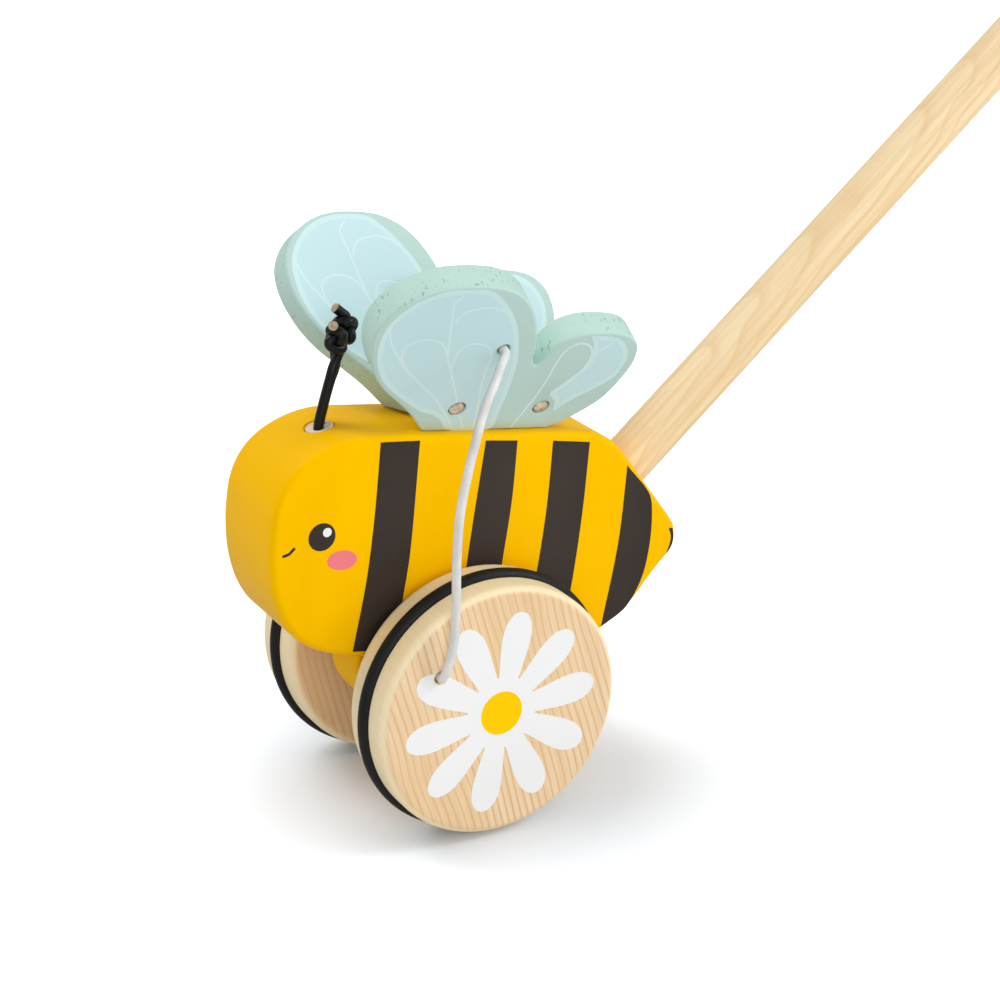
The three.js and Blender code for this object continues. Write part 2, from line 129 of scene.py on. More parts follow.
# Wings
WING_BASE = 44.4
WING_HEIGHT = 59
WING_THICK = 9.2
WING_EDGE = 0.9
WING_FRONT = 46.7 - BODY_AHEAD
WING_SPREAD = 26
WING_BEVEL = 30.5
WING_LEAN = {LEFT: 30.5, RIGHT: 33.5}
WING_FOOT_SLOPE = 0.9
WING_SHARES = (
    (1.054, 0.015), (1.137, 0.069), (1.302, 0.203), (1.372, 0.354), (1.394, 0.476),
    (1.358, 0.586), (1.268, 0.654), (1.155, 0.683), (0.962, 0.69), (0.86, 0.676), (0.748, 0.629),
    (0.691, 0.559), (0.66, 0.48), (0.628, 0.456), (0.592, 0.488), (0.568, 0.568),
    (0.538, 0.637), (0.471, 0.751), (0.385, 0.851), (0.297, 0.917), (0.198, 0.963),
    (0.092, 0.99), (-0.027, 1), (-0.14, 1), (-0.25, 0.992), (-0.363, 0.969), (-0.471, 0.925),
    (-0.556, 0.868), (-0.619, 0.798), (-0.655, 0.727), (-0.66, 0.649), (-0.64, 0.569),
    (-0.592, 0.476), (-0.507, 0.371), (-0.399, 0.281), (-0.275, 0.205), (-0.122, 0.103),
)
FLAP_ALONG = 0.317 * WING_BASE
FLAP_UP = 0.576 * WING_HEIGHT
HINGE_SHARES = (0.196, 0.845)
HINGE_UP = 9
HINGE_CORD_RADIUS = 2.35
HINGE_HOLE_RADIUS = 2.7
HINGE_CORD_SUNK = 0.5
HINGE_CORD_DOME = 0.9

# Rib between the wings
RIB_LENGTH = 36.8
RIB_THICK = 3.6
RIB_UP = 20
RIB_DEEP = 3
RIB_HOLE_UP = 14.7
RIB_CORNER = 6
RIB_EDGE = 0.5
RIB_HOLE_FLARE = 0.2
RIB_GROOVE_EDGE = 0.1

# Flap cords
FLAP_CORD_RADIUS = 1.35
FLAP_HOLE_RADIUS = 2
FLAP_BOW_AHEAD = 12
FLAP_BOW_REACH = 5.3
FLAP_SHARES = (
    (0.031, 0.05, 0.53), (0.075, 0.07, 0.69), (0.147, 0.16, 0.86), (0.249, 0.36, 0.93),
    (0.409, 0.7, 0.93), (0.563, 0.93, 0.89), (0.71, 0.97, 0.84), (0.789, 0.93, 0.79),
    (0.846, 0.87, 0.73), (0.889, 0.77, 0.66), (0.919, 0.62, 0.56), (0.945, 0.44, 0.44),
    (0.967, 0.27, 0.29),
)

# The flap cords' knots
KNOT_SIZE = 0.95
KNOT_HEIGHT = 1.4
KNOT_REACH = 4.6
KNOT_GAP = 0.5
KNOT_LEAD = 1.5
WHEEL_KNOT_SIDE = (0.6, 0, 1)

# An overhand knot of size 1: the reach of its curve in radians, and the place of its tails
KNOT_SPAN = 2.5
KNOT_STEPS = 24
KNOT_TAIL = (2.0, -2.5, 0.8)

# Antennae
BUSH_RADIUS = 4.25
BUSH_DEPTH = 9
BUSH_STAND = 0.3
BUSH_TILT = 18
BUSH_AT = 20.1
BUSH_DROP = 1.9
BUSH_EDGE = 0.5
BUSH_SEAT_FLARE = 0.3
ANTENNA_RADIUS = 1.5
ANTENNA_STEP = (0.87, 1.43)
ANTENNA_DEEP = 6
ANTENNA_CLEARANCE = 0.15
ANTENNA_KNOT_SIZE = 1.08
ANTENNA_KNOT_HEIGHT = ANTENNA_RADIUS * 1.3
CORE_RADIUS = ANTENNA_RADIUS * 0.92
CORE_LENGTH = 1.1
CORE_SUNK = 0.5
CORE_EDGE = 0.3

# Handle
HANDLE_RADIUS = 8.2
HANDLE_EDGE = 1.0
HANDLE_OUT = 450
HANDLE_IN_BODY = 36
SOCKET_FLARE = 0.4
HANDLE_TILT = 48
HANDLE_ENTRY_SHARES = (0.9005, 0.7258)
KNOB_RADIUS = 20
KNOB_BORE = 22
KNOB_FLARE = 0.6

# Thickness of a printed layer of paint, and rounding of the mouths of holes
PRINT = 0.06
HOLE_FLARE = 0.35

# How far a cutter stands out of a face, and how far a hole's two cutters overlap
CUT_OVER = 2
DRILL_OVERLAP = 1

# Gaps between the points of outlines, and numbers of points round a circle
OUTLINE_GAP = 1.0
WING_GAP = 0.8
RIBBON_GAP = 0.4
ELLIPSE_SIDES = 72
CORD_SIDES = 20

# At a sharp corner an outline is inset by at most the distance divided by this share
CORNER_SHARE = 0.4

# Turn of the growth lines on the wheels, and of the growth rings in the stick, in degrees
WHEEL_GRAIN_TURN = (0, 14, 0)
RING_TURN = (-8, 36, 0)

# Studio, in metres and watts. The floor's colours are what the camera sees and what the toy gets,
# and its glow grows with the distance from the middle of the shadow.
FLOOR_SIZE = 8
FLOOR_SEEN = (241, 247, 254)
FLOOR_BOUNCE = (212, 212, 212)
FLOOR_GLOW = ((0.05, 0.02), (0.08, 0.27), (0.14, 0.42), (0.3, 0.56), (0.8, 1.0))
SHADOW_MIDDLE = (-0.17, 0.0, 0.0)
WORLD_LIGHT = 0.52
LAMP_TARGET = (-0.15, 0, 0.08)
# Each lamp's name, place, size and power
LAMPS = (
    ("front_right", (1.2, -0.9, 1.3), 0.5, 10.5),
    ("low_right", (1.15, -1.0, 0.55), 0.5, 5),
    ("low_front", (-0.6, -1.5, 0.6), 1.0, 8),
    ("back_left", (-0.9, 0.9, 1.5), 1.0, 14),
)


# Frames

axle_low, axle_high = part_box("axle_rod")
axle = (axle_low + axle_high) / 2
ROW_FRAME = Matrix.Identity(4)
WHEEL_FRAME = Matrix.Translation(axle)
BEE_FRAME = WHEEL_FRAME @ Matrix.Rotation(math.radians(BODY_PITCH), 4, "Y")
UPRIGHT = Matrix.Rotation(math.pi / 2, 4, "X")
BEE_UPRIGHT = BEE_FRAME @ UPRIGHT


def upright_way(degrees):
    """A direction in the bee's middle plane, turned up from +X."""
    turn = math.radians(degrees)
    return Vector((math.cos(turn), 0, math.sin(turn)))


def wing_frame(side):
    """X along the wing's base, Y up its outer face, Z out of it on the left wing and in on the right."""
    lean = math.radians(WING_LEAN[side])
    along = Vector((1, 0, 0))
    up = Vector((0, side * math.sin(lean), math.cos(lean)))
    out = along.cross(up)
    foot = Vector((WING_FRONT, side * WING_SPREAD / 2, BODY_TOP + FIT_GAP)) * MM
    turn = Matrix((along, up, out)).transposed().to_4x4()
    return BEE_FRAME @ Matrix.Translation(foot) @ turn


# Shapes

def smooth_curve(points, closed=False, steps=8):
    """Points along a centripetal curve through the given points."""
    points = [Vector(p).to_3d() for p in points]
    if closed:
        padded = points[-1:] + points + points[:2]
    else:
        padded = [points[0] * 2 - points[1], *points, points[-1] * 2 - points[-2]]
    result = []
    for a, b, c, d in zip(padded, padded[1:], padded[2:], padded[3:]):
        spans = [max((q - p).length, 1e-6) ** 0.5 for p, q in ((a, b), (b, c), (c, d))]
        start = (b - a) / spans[0] - (c - a) / (spans[0] + spans[1]) + (c - b) / spans[1]
        end = (c - b) / spans[1] - (d - b) / (spans[1] + spans[2]) + (d - c) / spans[2]
        start, end = start * spans[1], end * spans[1]
        for k in range(steps):
            t = k / steps
            result.append(
                b * (2 * t ** 3 - 3 * t ** 2 + 1)
                + start * (t ** 3 - 2 * t ** 2 + t)
                + c * (3 * t ** 2 - 2 * t ** 3)
                + end * (t ** 3 - t ** 2)
            )
    if not closed:
        result.append(points[-1])
    return result


def spaced(points, gap):
    """The same open line with points about one gap apart."""
    lengths = [0.0]
    for p, q in zip(points, points[1:]):
        lengths.append(lengths[-1] + (q - p).length)
    count = max(2, round(lengths[-1] / gap))
    result, k = [], 0
    for i in range(count + 1):
        want = lengths[-1] * i / count
        while k < len(points) - 2 and lengths[k + 1] < want:
            k += 1
        span = max(lengths[k + 1] - lengths[k], 1e-9)
        result.append(points[k].lerp(points[k + 1], (want - lengths[k]) / span))
    return result


def way_along(line, i):
    """The direction of a line at one of its points."""
    return (line[min(i + 1, len(line) - 1)] - line[max(i - 1, 0)]).normalized()


def turns_round(sides):
    return [2 * math.pi * k / sides for k in range(sides)]


def arc(centre, radius, start, end, steps):
    turns = [math.radians(start + (end - start) * k / steps) for k in range(steps + 1)]
    return [(centre[0] + radius * math.cos(t), centre[1] + radius * math.sin(t)) for t in turns]


def ellipse(middle, halves):
    return [
        Vector((middle[0] + halves[0] * math.cos(t), middle[1] + halves[1] * math.sin(t)))
        for t in turns_round(ELLIPSE_SIDES)]


def rounding(edge, steps):
    """How far in and how far along a quarter-round edge is, from its face to its side."""
    turns = [math.pi / 2 * k / steps for k in range(steps + 1)]
    return [(edge * (1 - math.sin(t)), edge * (1 - math.cos(t))) for t in turns]


def inset(outline, distance):
    """A closed outline moved inwards by a distance; the outline runs anticlockwise."""
    result = []
    count = len(outline)
    for i, point in enumerate(outline):
        before = (point - outline[i - 1]).normalized()
        after = (outline[(i + 1) % count] - point).normalized()
        inward = Vector((-before.y - after.y, before.x + after.x)).normalized()
        share = max(CORNER_SHARE, inward.dot(Vector((-after.y, after.x))))
        result.append(point + inward * distance / share)
    return result


def anticlockwise(outline):
    area = sum(p.x * q.y - q.x * p.y for p, q in zip(outline, outline[1:] + outline[:1]))
    return outline if area > 0 else outline[::-1]


def add_object(name, data):
    obj = bpy.data.objects.new(name, data)
    bpy.context.collection.objects.link(obj)
    return obj


def mesh_object(name, points, faces, matrix, sharp=32, merge=False):
    """A mesh with its faces turned outwards, and with points that coincide merged if asked."""
    mesh = bpy.data.meshes.new(name)
    mesh.from_pydata([Vector(p) * MM for p in points], [], faces)
    work = bmesh.new()
    work.from_mesh(mesh)
    if merge:
        bmesh.ops.remove_doubles(work, verts=work.verts, dist=MM / 1000)
    bmesh.ops.recalc_face_normals(work, faces=work.faces)
    work.to_mesh(mesh)
    work.free()
    obj = add_object(name, mesh)
    obj.matrix_world = matrix
    soften(obj, sharp)
    return obj


def soften(obj, sharp=32):
    """Smooth shading but for edges sharper than the given angle."""
    obj.data.polygons.foreach_set("use_smooth", [True] * len(obj.data.polygons))
    obj.data.set_sharp_from_angle(angle=math.radians(sharp))


def loft(name, rings, matrix, open_end=False, sharp=32):
    """A skin over rings that have as many points each, closed at its start and, if not open, its end."""
    count, last = len(rings[0]), len(rings) - 1
    faces = []
    for k in range(last):
        for i in range(count):
            j = (i + 1) % count
            faces.append((k * count + i, k * count + j, (k + 1) * count + j, (k + 1) * count + i))
    faces.append(tuple(range(count))[::-1])
    if not open_end:
        faces.append(tuple(range(last * count, (last + 1) * count)))
    return mesh_object(name, [p for ring in rings for p in ring], faces, matrix, sharp)


def slab(name, outline, low, high, edge, matrix, rings=6):
    """A flat outline as a slab from low to high along Z, with rounded edges."""
    outline = anticlockwise([Vector(p[:2]) for p in outline])
    layers = [(inward, low + up) for inward, up in rounding(edge, rings)]
    layers += [(inward, low + high - z) for inward, z in reversed(layers)]
    return loft(name, [
        [(p.x, p.y, z) for p in (inset(outline, inward) if inward else outline)]
        for inward, z in layers], matrix)


def upright_slab(name, outline, thick, edge, rings=6):
    """A slab in the bee's middle plane, its mesh drawn in the bee's own frame."""
    obj = slab(name, outline, -thick / 2, thick / 2, edge, BEE_UPRIGHT, rings)
    obj.data.transform(UPRIGHT)
    obj.matrix_world = BEE_FRAME
    return obj


def inside(spot, outline):
    """Whether a spot lies within a closed outline."""
    found = False
    for i, p in enumerate(outline):
        q = outline[i - 1]
        if (p.y > spot.y) != (q.y > spot.y):
            found ^= spot.x < (q.x - p.x) * (spot.y - p.y) / (q.y - p.y) + p.x
    return found


def painting(areas):
    """Flat triangles of paint. Each area is a paint's number, or None for bare wood, and its outline,
    and the first area that holds a triangle paints it."""
    spots, edges, known = [], [], []
    for paint, outline in areas:
        outline = [Vector(p[:2]) for p in outline]
        first, count = len(spots), len(outline)
        spots += outline
        edges += [(first + i, first + (i + 1) % count) for i in range(count)]
        xs, ys = [p.x for p in outline], [p.y for p in outline]
        known.append((paint, outline, min(xs), max(xs), min(ys), max(ys)))
    corners, _, triangles, *_ = delaunay_2d_cdt(spots, edges, [], 0, 1e-5)
    kept = []
    for triangle in triangles:
        middle = (corners[triangle[0]] + corners[triangle[1]] + corners[triangle[2]]) / 3
        for paint, outline, west, east, south, north in known:
            if west < middle.x < east and south < middle.y < north and inside(middle, outline):
                if paint is not None:
                    kept.append((tuple(triangle), paint))
                break
    used = sorted({corner for triangle, _ in kept for corner in triangle})
    place = {corner: i for i, corner in enumerate(used)}
    return [corners[c] for c in used], [(tuple(place[c] for c in t), paint) for t, paint in kept]


def paint_layer(name, painted, face, out, matrix, materials, body):
    """A painting as a thin layer on a face, standing out of it along Z or against it."""
    corners, triangles = painted
    count = len(corners)
    points = [(p.x, p.y, z) for z in sorted((face, face + out * PRINT)) for p in corners]
    faces, paints, rim = [], [], {}
    for (a, b, c), paint in triangles:
        faces += [(a, c, b), (a + count, b + count, c + count)]
        paints += [paint, paint]
        for edge in ((a, b), (b, c), (c, a)):
            if edge[::-1] in rim:
                del rim[edge[::-1]]
            else:
                rim[edge] = paint
    for (a, b), paint in rim.items():
        faces.append((a, b, b + count, a + count))
        paints.append(paint)
    obj = mesh_object(name, points, faces, matrix)
    for material in materials:
        obj.data.materials.append(material)
    obj.data.polygons.foreach_set("material_index", paints)
    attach(obj, body)


def lathe(name, profile, matrix, sides, closed=False):
    """A profile of (radius, distance along Y) turned about Y."""
    count = len(profile)
    points = [(r * math.cos(t), y, r * math.sin(t)) for t in turns_round(sides) for r, y in profile]
    faces = []
    for i in range(sides):
        j = (i + 1) % sides
        for k in range(count if closed else count - 1):
            m = (k + 1) % count
            faces.append((i * count + k, i * count + m, j * count + m, j * count + k))
    return mesh_object(name, points, faces, matrix, merge=True)


def turned_to(direction, start):
    """A frame at start whose Y axis runs along a direction."""
    turn = Vector((0, 1, 0)).rotation_difference(Vector(direction).normalized())
    return Matrix.Translation(Vector(start) * MM) @ turn.to_matrix().to_4x4()


def rounded_bar(name, start, direction, length, radius, matrix, edge=0.6, sides=64):
    """A round bar with softened ends."""
    profile = [(0, 0)] + [(radius - inward, along) for inward, along in rounding(edge, 4)]
    profile += [(r, length - y) for r, y in reversed(profile)]
    return lathe(name, profile, matrix @ turned_to(direction, start), sides)


def tube(name, line, radius, matrix, open_end=False, dome=0.0):
    """A round tube along a line, its section carried along without twist, its start a dome or flat."""
    radii = [radius] * len(line)
    if dome:
        way = (line[0] - line[1]).normalized()
        turns = [math.pi / 2 * k / 6 for k in range(5, 0, -1)]
        line = [line[0] + way * dome * math.sin(t) for t in turns] + line
        radii = [radius * math.cos(t) for t in turns] + radii
    side = way_along(line, 0).orthogonal().normalized()
    rings = []
    for i, spot in enumerate(line):
        way = way_along(line, i)
        side = (side - way * side.dot(way)).normalized()
        other = way.cross(side)
        rings.append([
            spot + (side * math.cos(t) + other * math.sin(t)) * radii[i]
            for t in turns_round(CORD_SIDES)])
    return loft(name, rings, matrix, open_end, sharp=50)


def drill(start, direction, depth, radius, matrix, flare):
    """A cutter for a hole whose mouth is a little rounded; start lies on the surface."""
    profile = [(0, -CUT_OVER), (radius + flare, -CUT_OVER)]
    profile += [(radius + outward, along) for outward, along in rounding(flare, 4)]
    profile += [(radius, depth), (0, depth)]
    return lathe("cutter", profile, matrix @ turned_to(direction, start), 40)


def carve(obj, cutters):
    for cutter in cutters:
        change = obj.modifiers.new("carve", "BOOLEAN")
        change.operation = "DIFFERENCE"
        change.solver = "EXACT"
        change.object = cutter
    bpy.context.view_layer.update()
    shown = obj.evaluated_get(bpy.context.evaluated_depsgraph_get())
    mesh = bpy.data.meshes.new_from_object(shown)
    obj.modifiers.clear()
    obj.data = mesh
    soften(obj)
    for cutter in cutters:
        bpy.data.objects.remove(cutter)


# Materials

def colour(red, green, blue):
    """A colour given as it shows on a screen, as a linear one."""
    shares = [value / 255 for value in (red, green, blue)]
    return tuple(((s + 0.055) / 1.055) ** 2.4 if s > 0.04 else s / 12.92 for s in shares) + (1,)


class Look:
    """A material and short ways to add its nodes."""

    def __init__(self, name, roughness=0.5, specular=0.5):
        self.material = bpy.data.materials.new(name)
        self.material.use_nodes = True
        self.tree = self.material.node_tree
        self.shader = self.tree.nodes["Principled BSDF"]
        self.shader.inputs["Roughness"].default_value = roughness
        self.shader.inputs["Specular IOR Level"].default_value = specular

    def node(self, kind, **inputs):
        made = self.tree.nodes.new(kind)
        for name, value in inputs.items():
            self.put(made, name.replace("_", " "), value)
        return made

    def put(self, node, name, value):
        target = node.inputs[int(name)] if name.isdigit() else node.inputs[name]
        if isinstance(value, bpy.types.NodeSocket):
            self.tree.links.new(value, target)
        else:
            target.default_value = value

    def place(self, scale, turn):
        """The piece's own coordinates, turned by degrees and then scaled."""
        found = self.node("ShaderNodeTexCoord").outputs["Object"]
        turned = self.node("ShaderNodeMapping", Vector=found)
        turned.inputs["Rotation"].default_value = [math.radians(a) for a in turn]
        sized = self.node("ShaderNodeMapping", Vector=turned.outputs["Vector"])
        sized.inputs["Scale"].default_value = scale
        return sized.outputs["Vector"]

    def noise(self, scale, detail, rough=0.5, twist=0.0, turn=(0, 0, 0)):
        """Noise in the piece's own coordinates, its scale one number or one for each axis."""
        scales = scale if isinstance(scale, tuple) else (scale, scale, scale)
        made = self.node(
            "ShaderNodeTexNoise", Vector=self.place(scales, turn), Scale=1.0, Detail=detail,
            Roughness=rough, Distortion=twist)
        return made.outputs["Fac"]

    def waves(self, way, profile, turn, scale, distortion, detail, detail_scale):
        """Bands across one of the piece's axes, turned by degrees."""
        made = self.node(
            "ShaderNodeTexWave", Vector=self.place((1, 1, 1), turn), Scale=scale,
            Distortion=distortion, Detail=detail, Detail_Scale=detail_scale, Detail_Roughness=0.5)
        made.wave_type, made.bands_direction, made.wave_profile = "BANDS", way, profile
        return made.outputs["Fac"]

    def ramp(self, value, *stops):
        """A smooth run of colours or greys between places."""
        made = self.node("ShaderNodeValToRGB", Fac=value)
        run = made.color_ramp
        while len(run.elements) < len(stops):
            run.elements.new(0.5)
        for element, (where, shade) in zip(run.elements, stops):
            element.position = where
            element.color = shade if isinstance(shade, tuple) else (shade, shade, shade, 1)
        return made.outputs["Color"]

    def mix(self, share, first, second):
        made = self.tree.nodes.new("ShaderNodeMix")
        made.data_type = "RGBA"
        for index, value in ((0, share), (6, first), (7, second)):
            self.put(made, str(index), value)
        return made.outputs[2]

    def facing(self, axis):
        """How squarely the surface faces along one of the piece's axes."""
        normal = self.node("ShaderNodeTexCoord").outputs["Normal"]
        apart = self.node("ShaderNodeSeparateXYZ", Vector=normal)
        return self.maths("ABSOLUTE", apart.outputs[axis])

    def over(self, base, cover, share, shade):
        """The base colour with a shade over it where the cover shows, at most by the share."""
        return self.mix(self.maths("MULTIPLY", cover, share), base, shade)

    def maths(self, way, first, second=0.0):
        made = self.node("ShaderNodeMath", **{"0": first, "1": second})
        made.operation = way
        return made.outputs[0]

    def paint(self, shade):
        self.put(self.shader, "Base Color", shade)

    def rough(self, value):
        self.put(self.shader, "Roughness", value)

    def dull(self, specular, tint=(1, 1, 1, 1)):
        """Weaker and tinted reflections."""
        self.shader.inputs["Specular IOR Level"].default_value = specular
        self.shader.inputs["Specular Tint"].default_value = tint

    def bump(self, height, strength, distance):
        made = self.node("ShaderNodeBump", Height=height, Strength=strength, Distance=distance * MM)
        if self.shader.inputs["Normal"].is_linked:
            self.put(made, "Normal", self.shader.inputs["Normal"].links[0].from_socket)
        self.put(self.shader, "Normal", made.outputs["Normal"])


def lacquer(name, shade, roughness, spread):
    """Satin paint on fine wood: slight unevenness, faint grain and orange peel below the gloss."""
    look = Look(name, roughness)
    cloud = look.noise(22, 3)
    darker = tuple(c * (1 - spread) for c in shade[:3]) + (1,)
    look.paint(look.mix(look.ramp(cloud, (0.35, 0.0), (0.65, 1.0)), darker, shade))
    peel = look.noise(650, 2)
    grain = look.noise((90, 900, 900), 3)
    look.rough(look.ramp(grain, (0.3, roughness - 0.05), (0.7, roughness + 0.07)))
    look.bump(grain, 0.25, 0.06)
    look.bump(peel, 0.15, 0.08)
    return look


def paint_look(name, shade, roughness=0.5, spread=0.03, specular=0.25, tint=(1, 1, 1, 1)):
    look = lacquer(name, shade, roughness, spread)
    look.dull(specular, tint)
    return look.material


def charcoal_look():
    look = lacquer("charcoal_print", colour(57, 48, 42), 0.42, 0.3)
    look.dull(0.22)
    specks = look.noise(900, 3, 0.7)
    look.bump(specks, 0.3, 0.1)
    return look.material


def sage_look():
    """Matt paint; the sawn rim is a little darker and shows the pores of the wood."""
    look = lacquer("sage_paint", colour(186, 214, 208), 0.52, 0.04)
    look.dull(0.3)
    flat = look.shader.inputs["Base Color"].links[0].from_socket
    rim = look.ramp(look.facing("Z"), (0.45, 1.0), (0.8, 0.0))
    pores = look.noise((900, 900, 500), 2, 0.6)
    patches = look.noise(60, 2)
    pits = look.maths("MULTIPLY", look.ramp(pores, (0.62, 0.0), (0.7, 1.0)),
                      look.ramp(patches, (0.38, 0.0), (0.56, 1.0)))
    pits = look.maths("MULTIPLY", pits, rim)
    side = look.mix(rim, flat, colour(183, 214, 203))
    look.paint(look.over(side, pits, 0.6, colour(96, 116, 110)))
    look.bump(pits, -0.5, 0.3)
    return look.material


def timber(name, turn, light, dark, knotty, fine=1.0, across=1.0, tongues=0.0):
    """Clear-lacquered wood whose grain runs along the turned X axis. Growth rings that lie at a slant
    to a stick along Y show on it as long tongues, whose depth of colour is tongues."""
    look = Look(name, 0.55)
    bands = look.noise((4, 130 * across, 60), 4, 0.55, 0.25, turn=turn)
    streaks = look.noise((16, 900 * fine, 500), 4, 0.6, turn=turn)
    flecks = look.noise((110, 2300, 1500), 2, 0.5, turn=turn)
    base = look.mix(look.ramp(bands, (0.3, 0.0), (0.7, 1.0)), light, knotty)
    lines = look.ramp(streaks, (0.38, 1.0), (0.62, 0.0))
    base = look.over(base, lines, 0.55 - 0.35 * tongues, dark)
    if tongues:
        rings = look.waves("Z", "SAW", RING_TURN, 74.0, 10.0, 2.0, 0.3)
        tongue = look.ramp(rings, (0.0, 0.15), (0.55, 0.25), (0.88, 1.0), (1.0, 0.15))
        base = look.over(base, tongue, tongues, dark)
    spots = look.ramp(flecks, (0.6, 0.0), (0.72, 1.0))
    base = look.over(base, spots, 0.35, dark)
    look.paint(base)
    look.rough(look.ramp(streaks, (0.3, 0.49), (0.7, 0.63)))
    look.bump(streaks, 0.35, 0.08)
    look.bump(flecks, 0.3, 0.05)
    return look.material


def wheel_wood():
    """Clear-lacquered wood with thin brown growth lines that run nearly upright across the wheel."""
    look = Look("maple", 0.5, 0.3)
    lines = look.waves("X", "SIN", WHEEL_GRAIN_TURN, 135.0, 10.0, 1.5, 0.16)
    cloud = look.noise((22, 22, 9), 2, turn=WHEEL_GRAIN_TURN)
    streaks = look.noise((700, 500, 26), 4, 0.6, turn=WHEEL_GRAIN_TURN)
    pores = look.noise((2300, 1500, 420), 2, 0.5)
    base = look.mix(
        look.ramp(cloud, (0.35, 0.0), (0.65, 1.0)), colour(242, 217, 180), colour(232, 200, 156))
    fine = look.ramp(streaks, (0.4, 1.0), (0.62, 0.0))
    base = look.over(base, fine, 0.3, colour(212, 170, 120))
    line = look.ramp(lines, (0.0, 1.0), (0.05, 0.8), (0.2, 0.2), (0.5, 0.0))
    depth = look.ramp(cloud, (0.3, 0.66), (0.7, 0.28))
    base = look.over(base, line, depth, colour(208, 154, 98))
    spots = look.ramp(pores, (0.64, 0.0), (0.74, 1.0))
    base = look.over(base, spots, 0.3, colour(196, 146, 98))
    # The tread and the rounded edges of the faces are painted a paler cream without growth lines: partly the
    # smooth turned wood, partly a painted highlight along the edges.
    tread_and_edge_highlight = look.ramp(look.facing("Y"), (0.8, 0.85), (0.97, 0.0))
    base = look.mix(tread_and_edge_highlight, base, colour(248, 232, 192))
    look.paint(base)
    look.rough(look.ramp(streaks, (0.3, 0.44), (0.7, 0.6)))
    look.bump(streaks, 0.3, 0.06)
    return look.material


def rubber_look():
    look = Look("black_rubber", 0.5, 0.22)
    cloud = look.noise(130, 4)
    look.paint(look.ramp(cloud, (0.3, colour(12, 11, 11)), (0.7, colour(24, 23, 22))))
    look.rough(look.ramp(cloud, (0.3, 0.42), (0.7, 0.58)))
    look.bump(look.noise(1500, 2), 0.2, 0.06)
    return look.material


def cord_look(name, shade, darker, roughness, weave=0.35, fineness=1800):
    """Fine uneven fibre all over."""
    look = Look(name, roughness, 0.25)
    fine = look.noise(fineness, 3, 0.6)
    cloud = look.noise(160, 3)
    tone = look.mix(look.ramp(cloud, (0.3, 0.0), (0.7, 1.0)), darker, shade)
    look.paint(look.mix(look.ramp(fine, (0.3, 0.5), (0.6, 0.0)), tone, darker))
    look.bump(fine, weave, 0.12)
    return look.material


YELLOW_SHEEN = (1, 0.72, 0.02, 1)
YELLOW = paint_look("yellow_lacquer", colour(252, 192, 0), 0.38, 0.05, 0.05, YELLOW_SHEEN)
CHARCOAL = charcoal_look()
SAGE = sage_look()
WHITE_PRINT = paint_look("white_print", colour(238, 239, 239))
YELLOW_PRINT = paint_look("yellow_print", colour(255, 203, 0), tint=YELLOW_SHEEN)
BLUE_PRINT = paint_look("blue_print", colour(197, 228, 232))
PALE_PRINT = paint_look("pale_print", colour(205, 234, 234))
VEIN_PRINT = paint_look("vein_print", colour(212, 236, 237))
PINK_PRINT = paint_look("pink_print", colour(240, 124, 132))
MAPLE = wheel_wood()
PINE = timber(
    "pine", (0, 0, 90), colour(250, 231, 191), colour(221, 182, 124), colour(241, 214, 166),
    fine=0.6, across=1.3, tongues=0.45)
BIRCH = timber(
    "birch", (0, 0, 90), colour(238, 219, 186), colour(206, 176, 134), colour(230, 206, 168))
BUSH_WOOD = timber(
    "bush_wood", (0, 30, 0), colour(240, 226, 200), colour(210, 186, 150), colour(233, 214, 182))
RUBBER = rubber_look()
BLACK_CORD = cord_look("black_cord", colour(14, 13, 12), colour(5, 4, 4), 0.38)
WHITE_CORD = cord_look("white_cord", colour(232, 231, 227), colour(206, 206, 204), 0.4, 0.25)
COTTON = cord_look("cotton_core", colour(246, 234, 208), colour(128, 98, 66), 0.85, 1.0, 1000)


def finished(obj, body, material, slot, *nodes):
    """Give a piece its material, its body and the solids that it stands for."""
    obj.data.materials.clear()
    obj.data.materials.append(material)
    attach(obj, body)
    if nodes:
        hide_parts(*nodes)


# Body

def on_body(share):
    return Vector((share[0] * BODY_LENGTH - BODY_AHEAD, BODY_ABOVE + share[1] * BODY_HEIGHT))


def joined(*runs):
    """Curves through each run of points, joined by straight lines."""
    outline = []
    for run in runs:
        outline += spaced(smooth_curve(run), OUTLINE_GAP)
    return outline


HANDLE_WAY = upright_way(HANDLE_TILT)
entry = on_body(HANDLE_ENTRY_SHARES)
HANDLE_ENTRY = Vector((entry.x, 0, entry.y))
BUSH_WAY = upright_way(90 + BUSH_TILT)
BUSH_TOP = Vector((BUSH_AT - BODY_AHEAD, 0, BODY_TOP - BUSH_DROP)) + BUSH_WAY * BUSH_STAND
RIB_MIDDLE = WING_FRONT + WING_BASE * sum(HINGE_SHARES) / 2


def rib_outline(grow=0.0):
    half = RIB_LENGTH / 2 + grow
    low, high = -RIB_DEEP - grow, RIB_UP
    outline = [(-half, low), (half, low)]
    for start, side in ((0, 1), (90, -1)):
        centre = (side * (half - RIB_CORNER), high - RIB_CORNER)
        outline += arc(centre, RIB_CORNER, start, start + 90, 8)
    return [(x + RIB_MIDDLE, z + BODY_TOP) for x, z in outline]


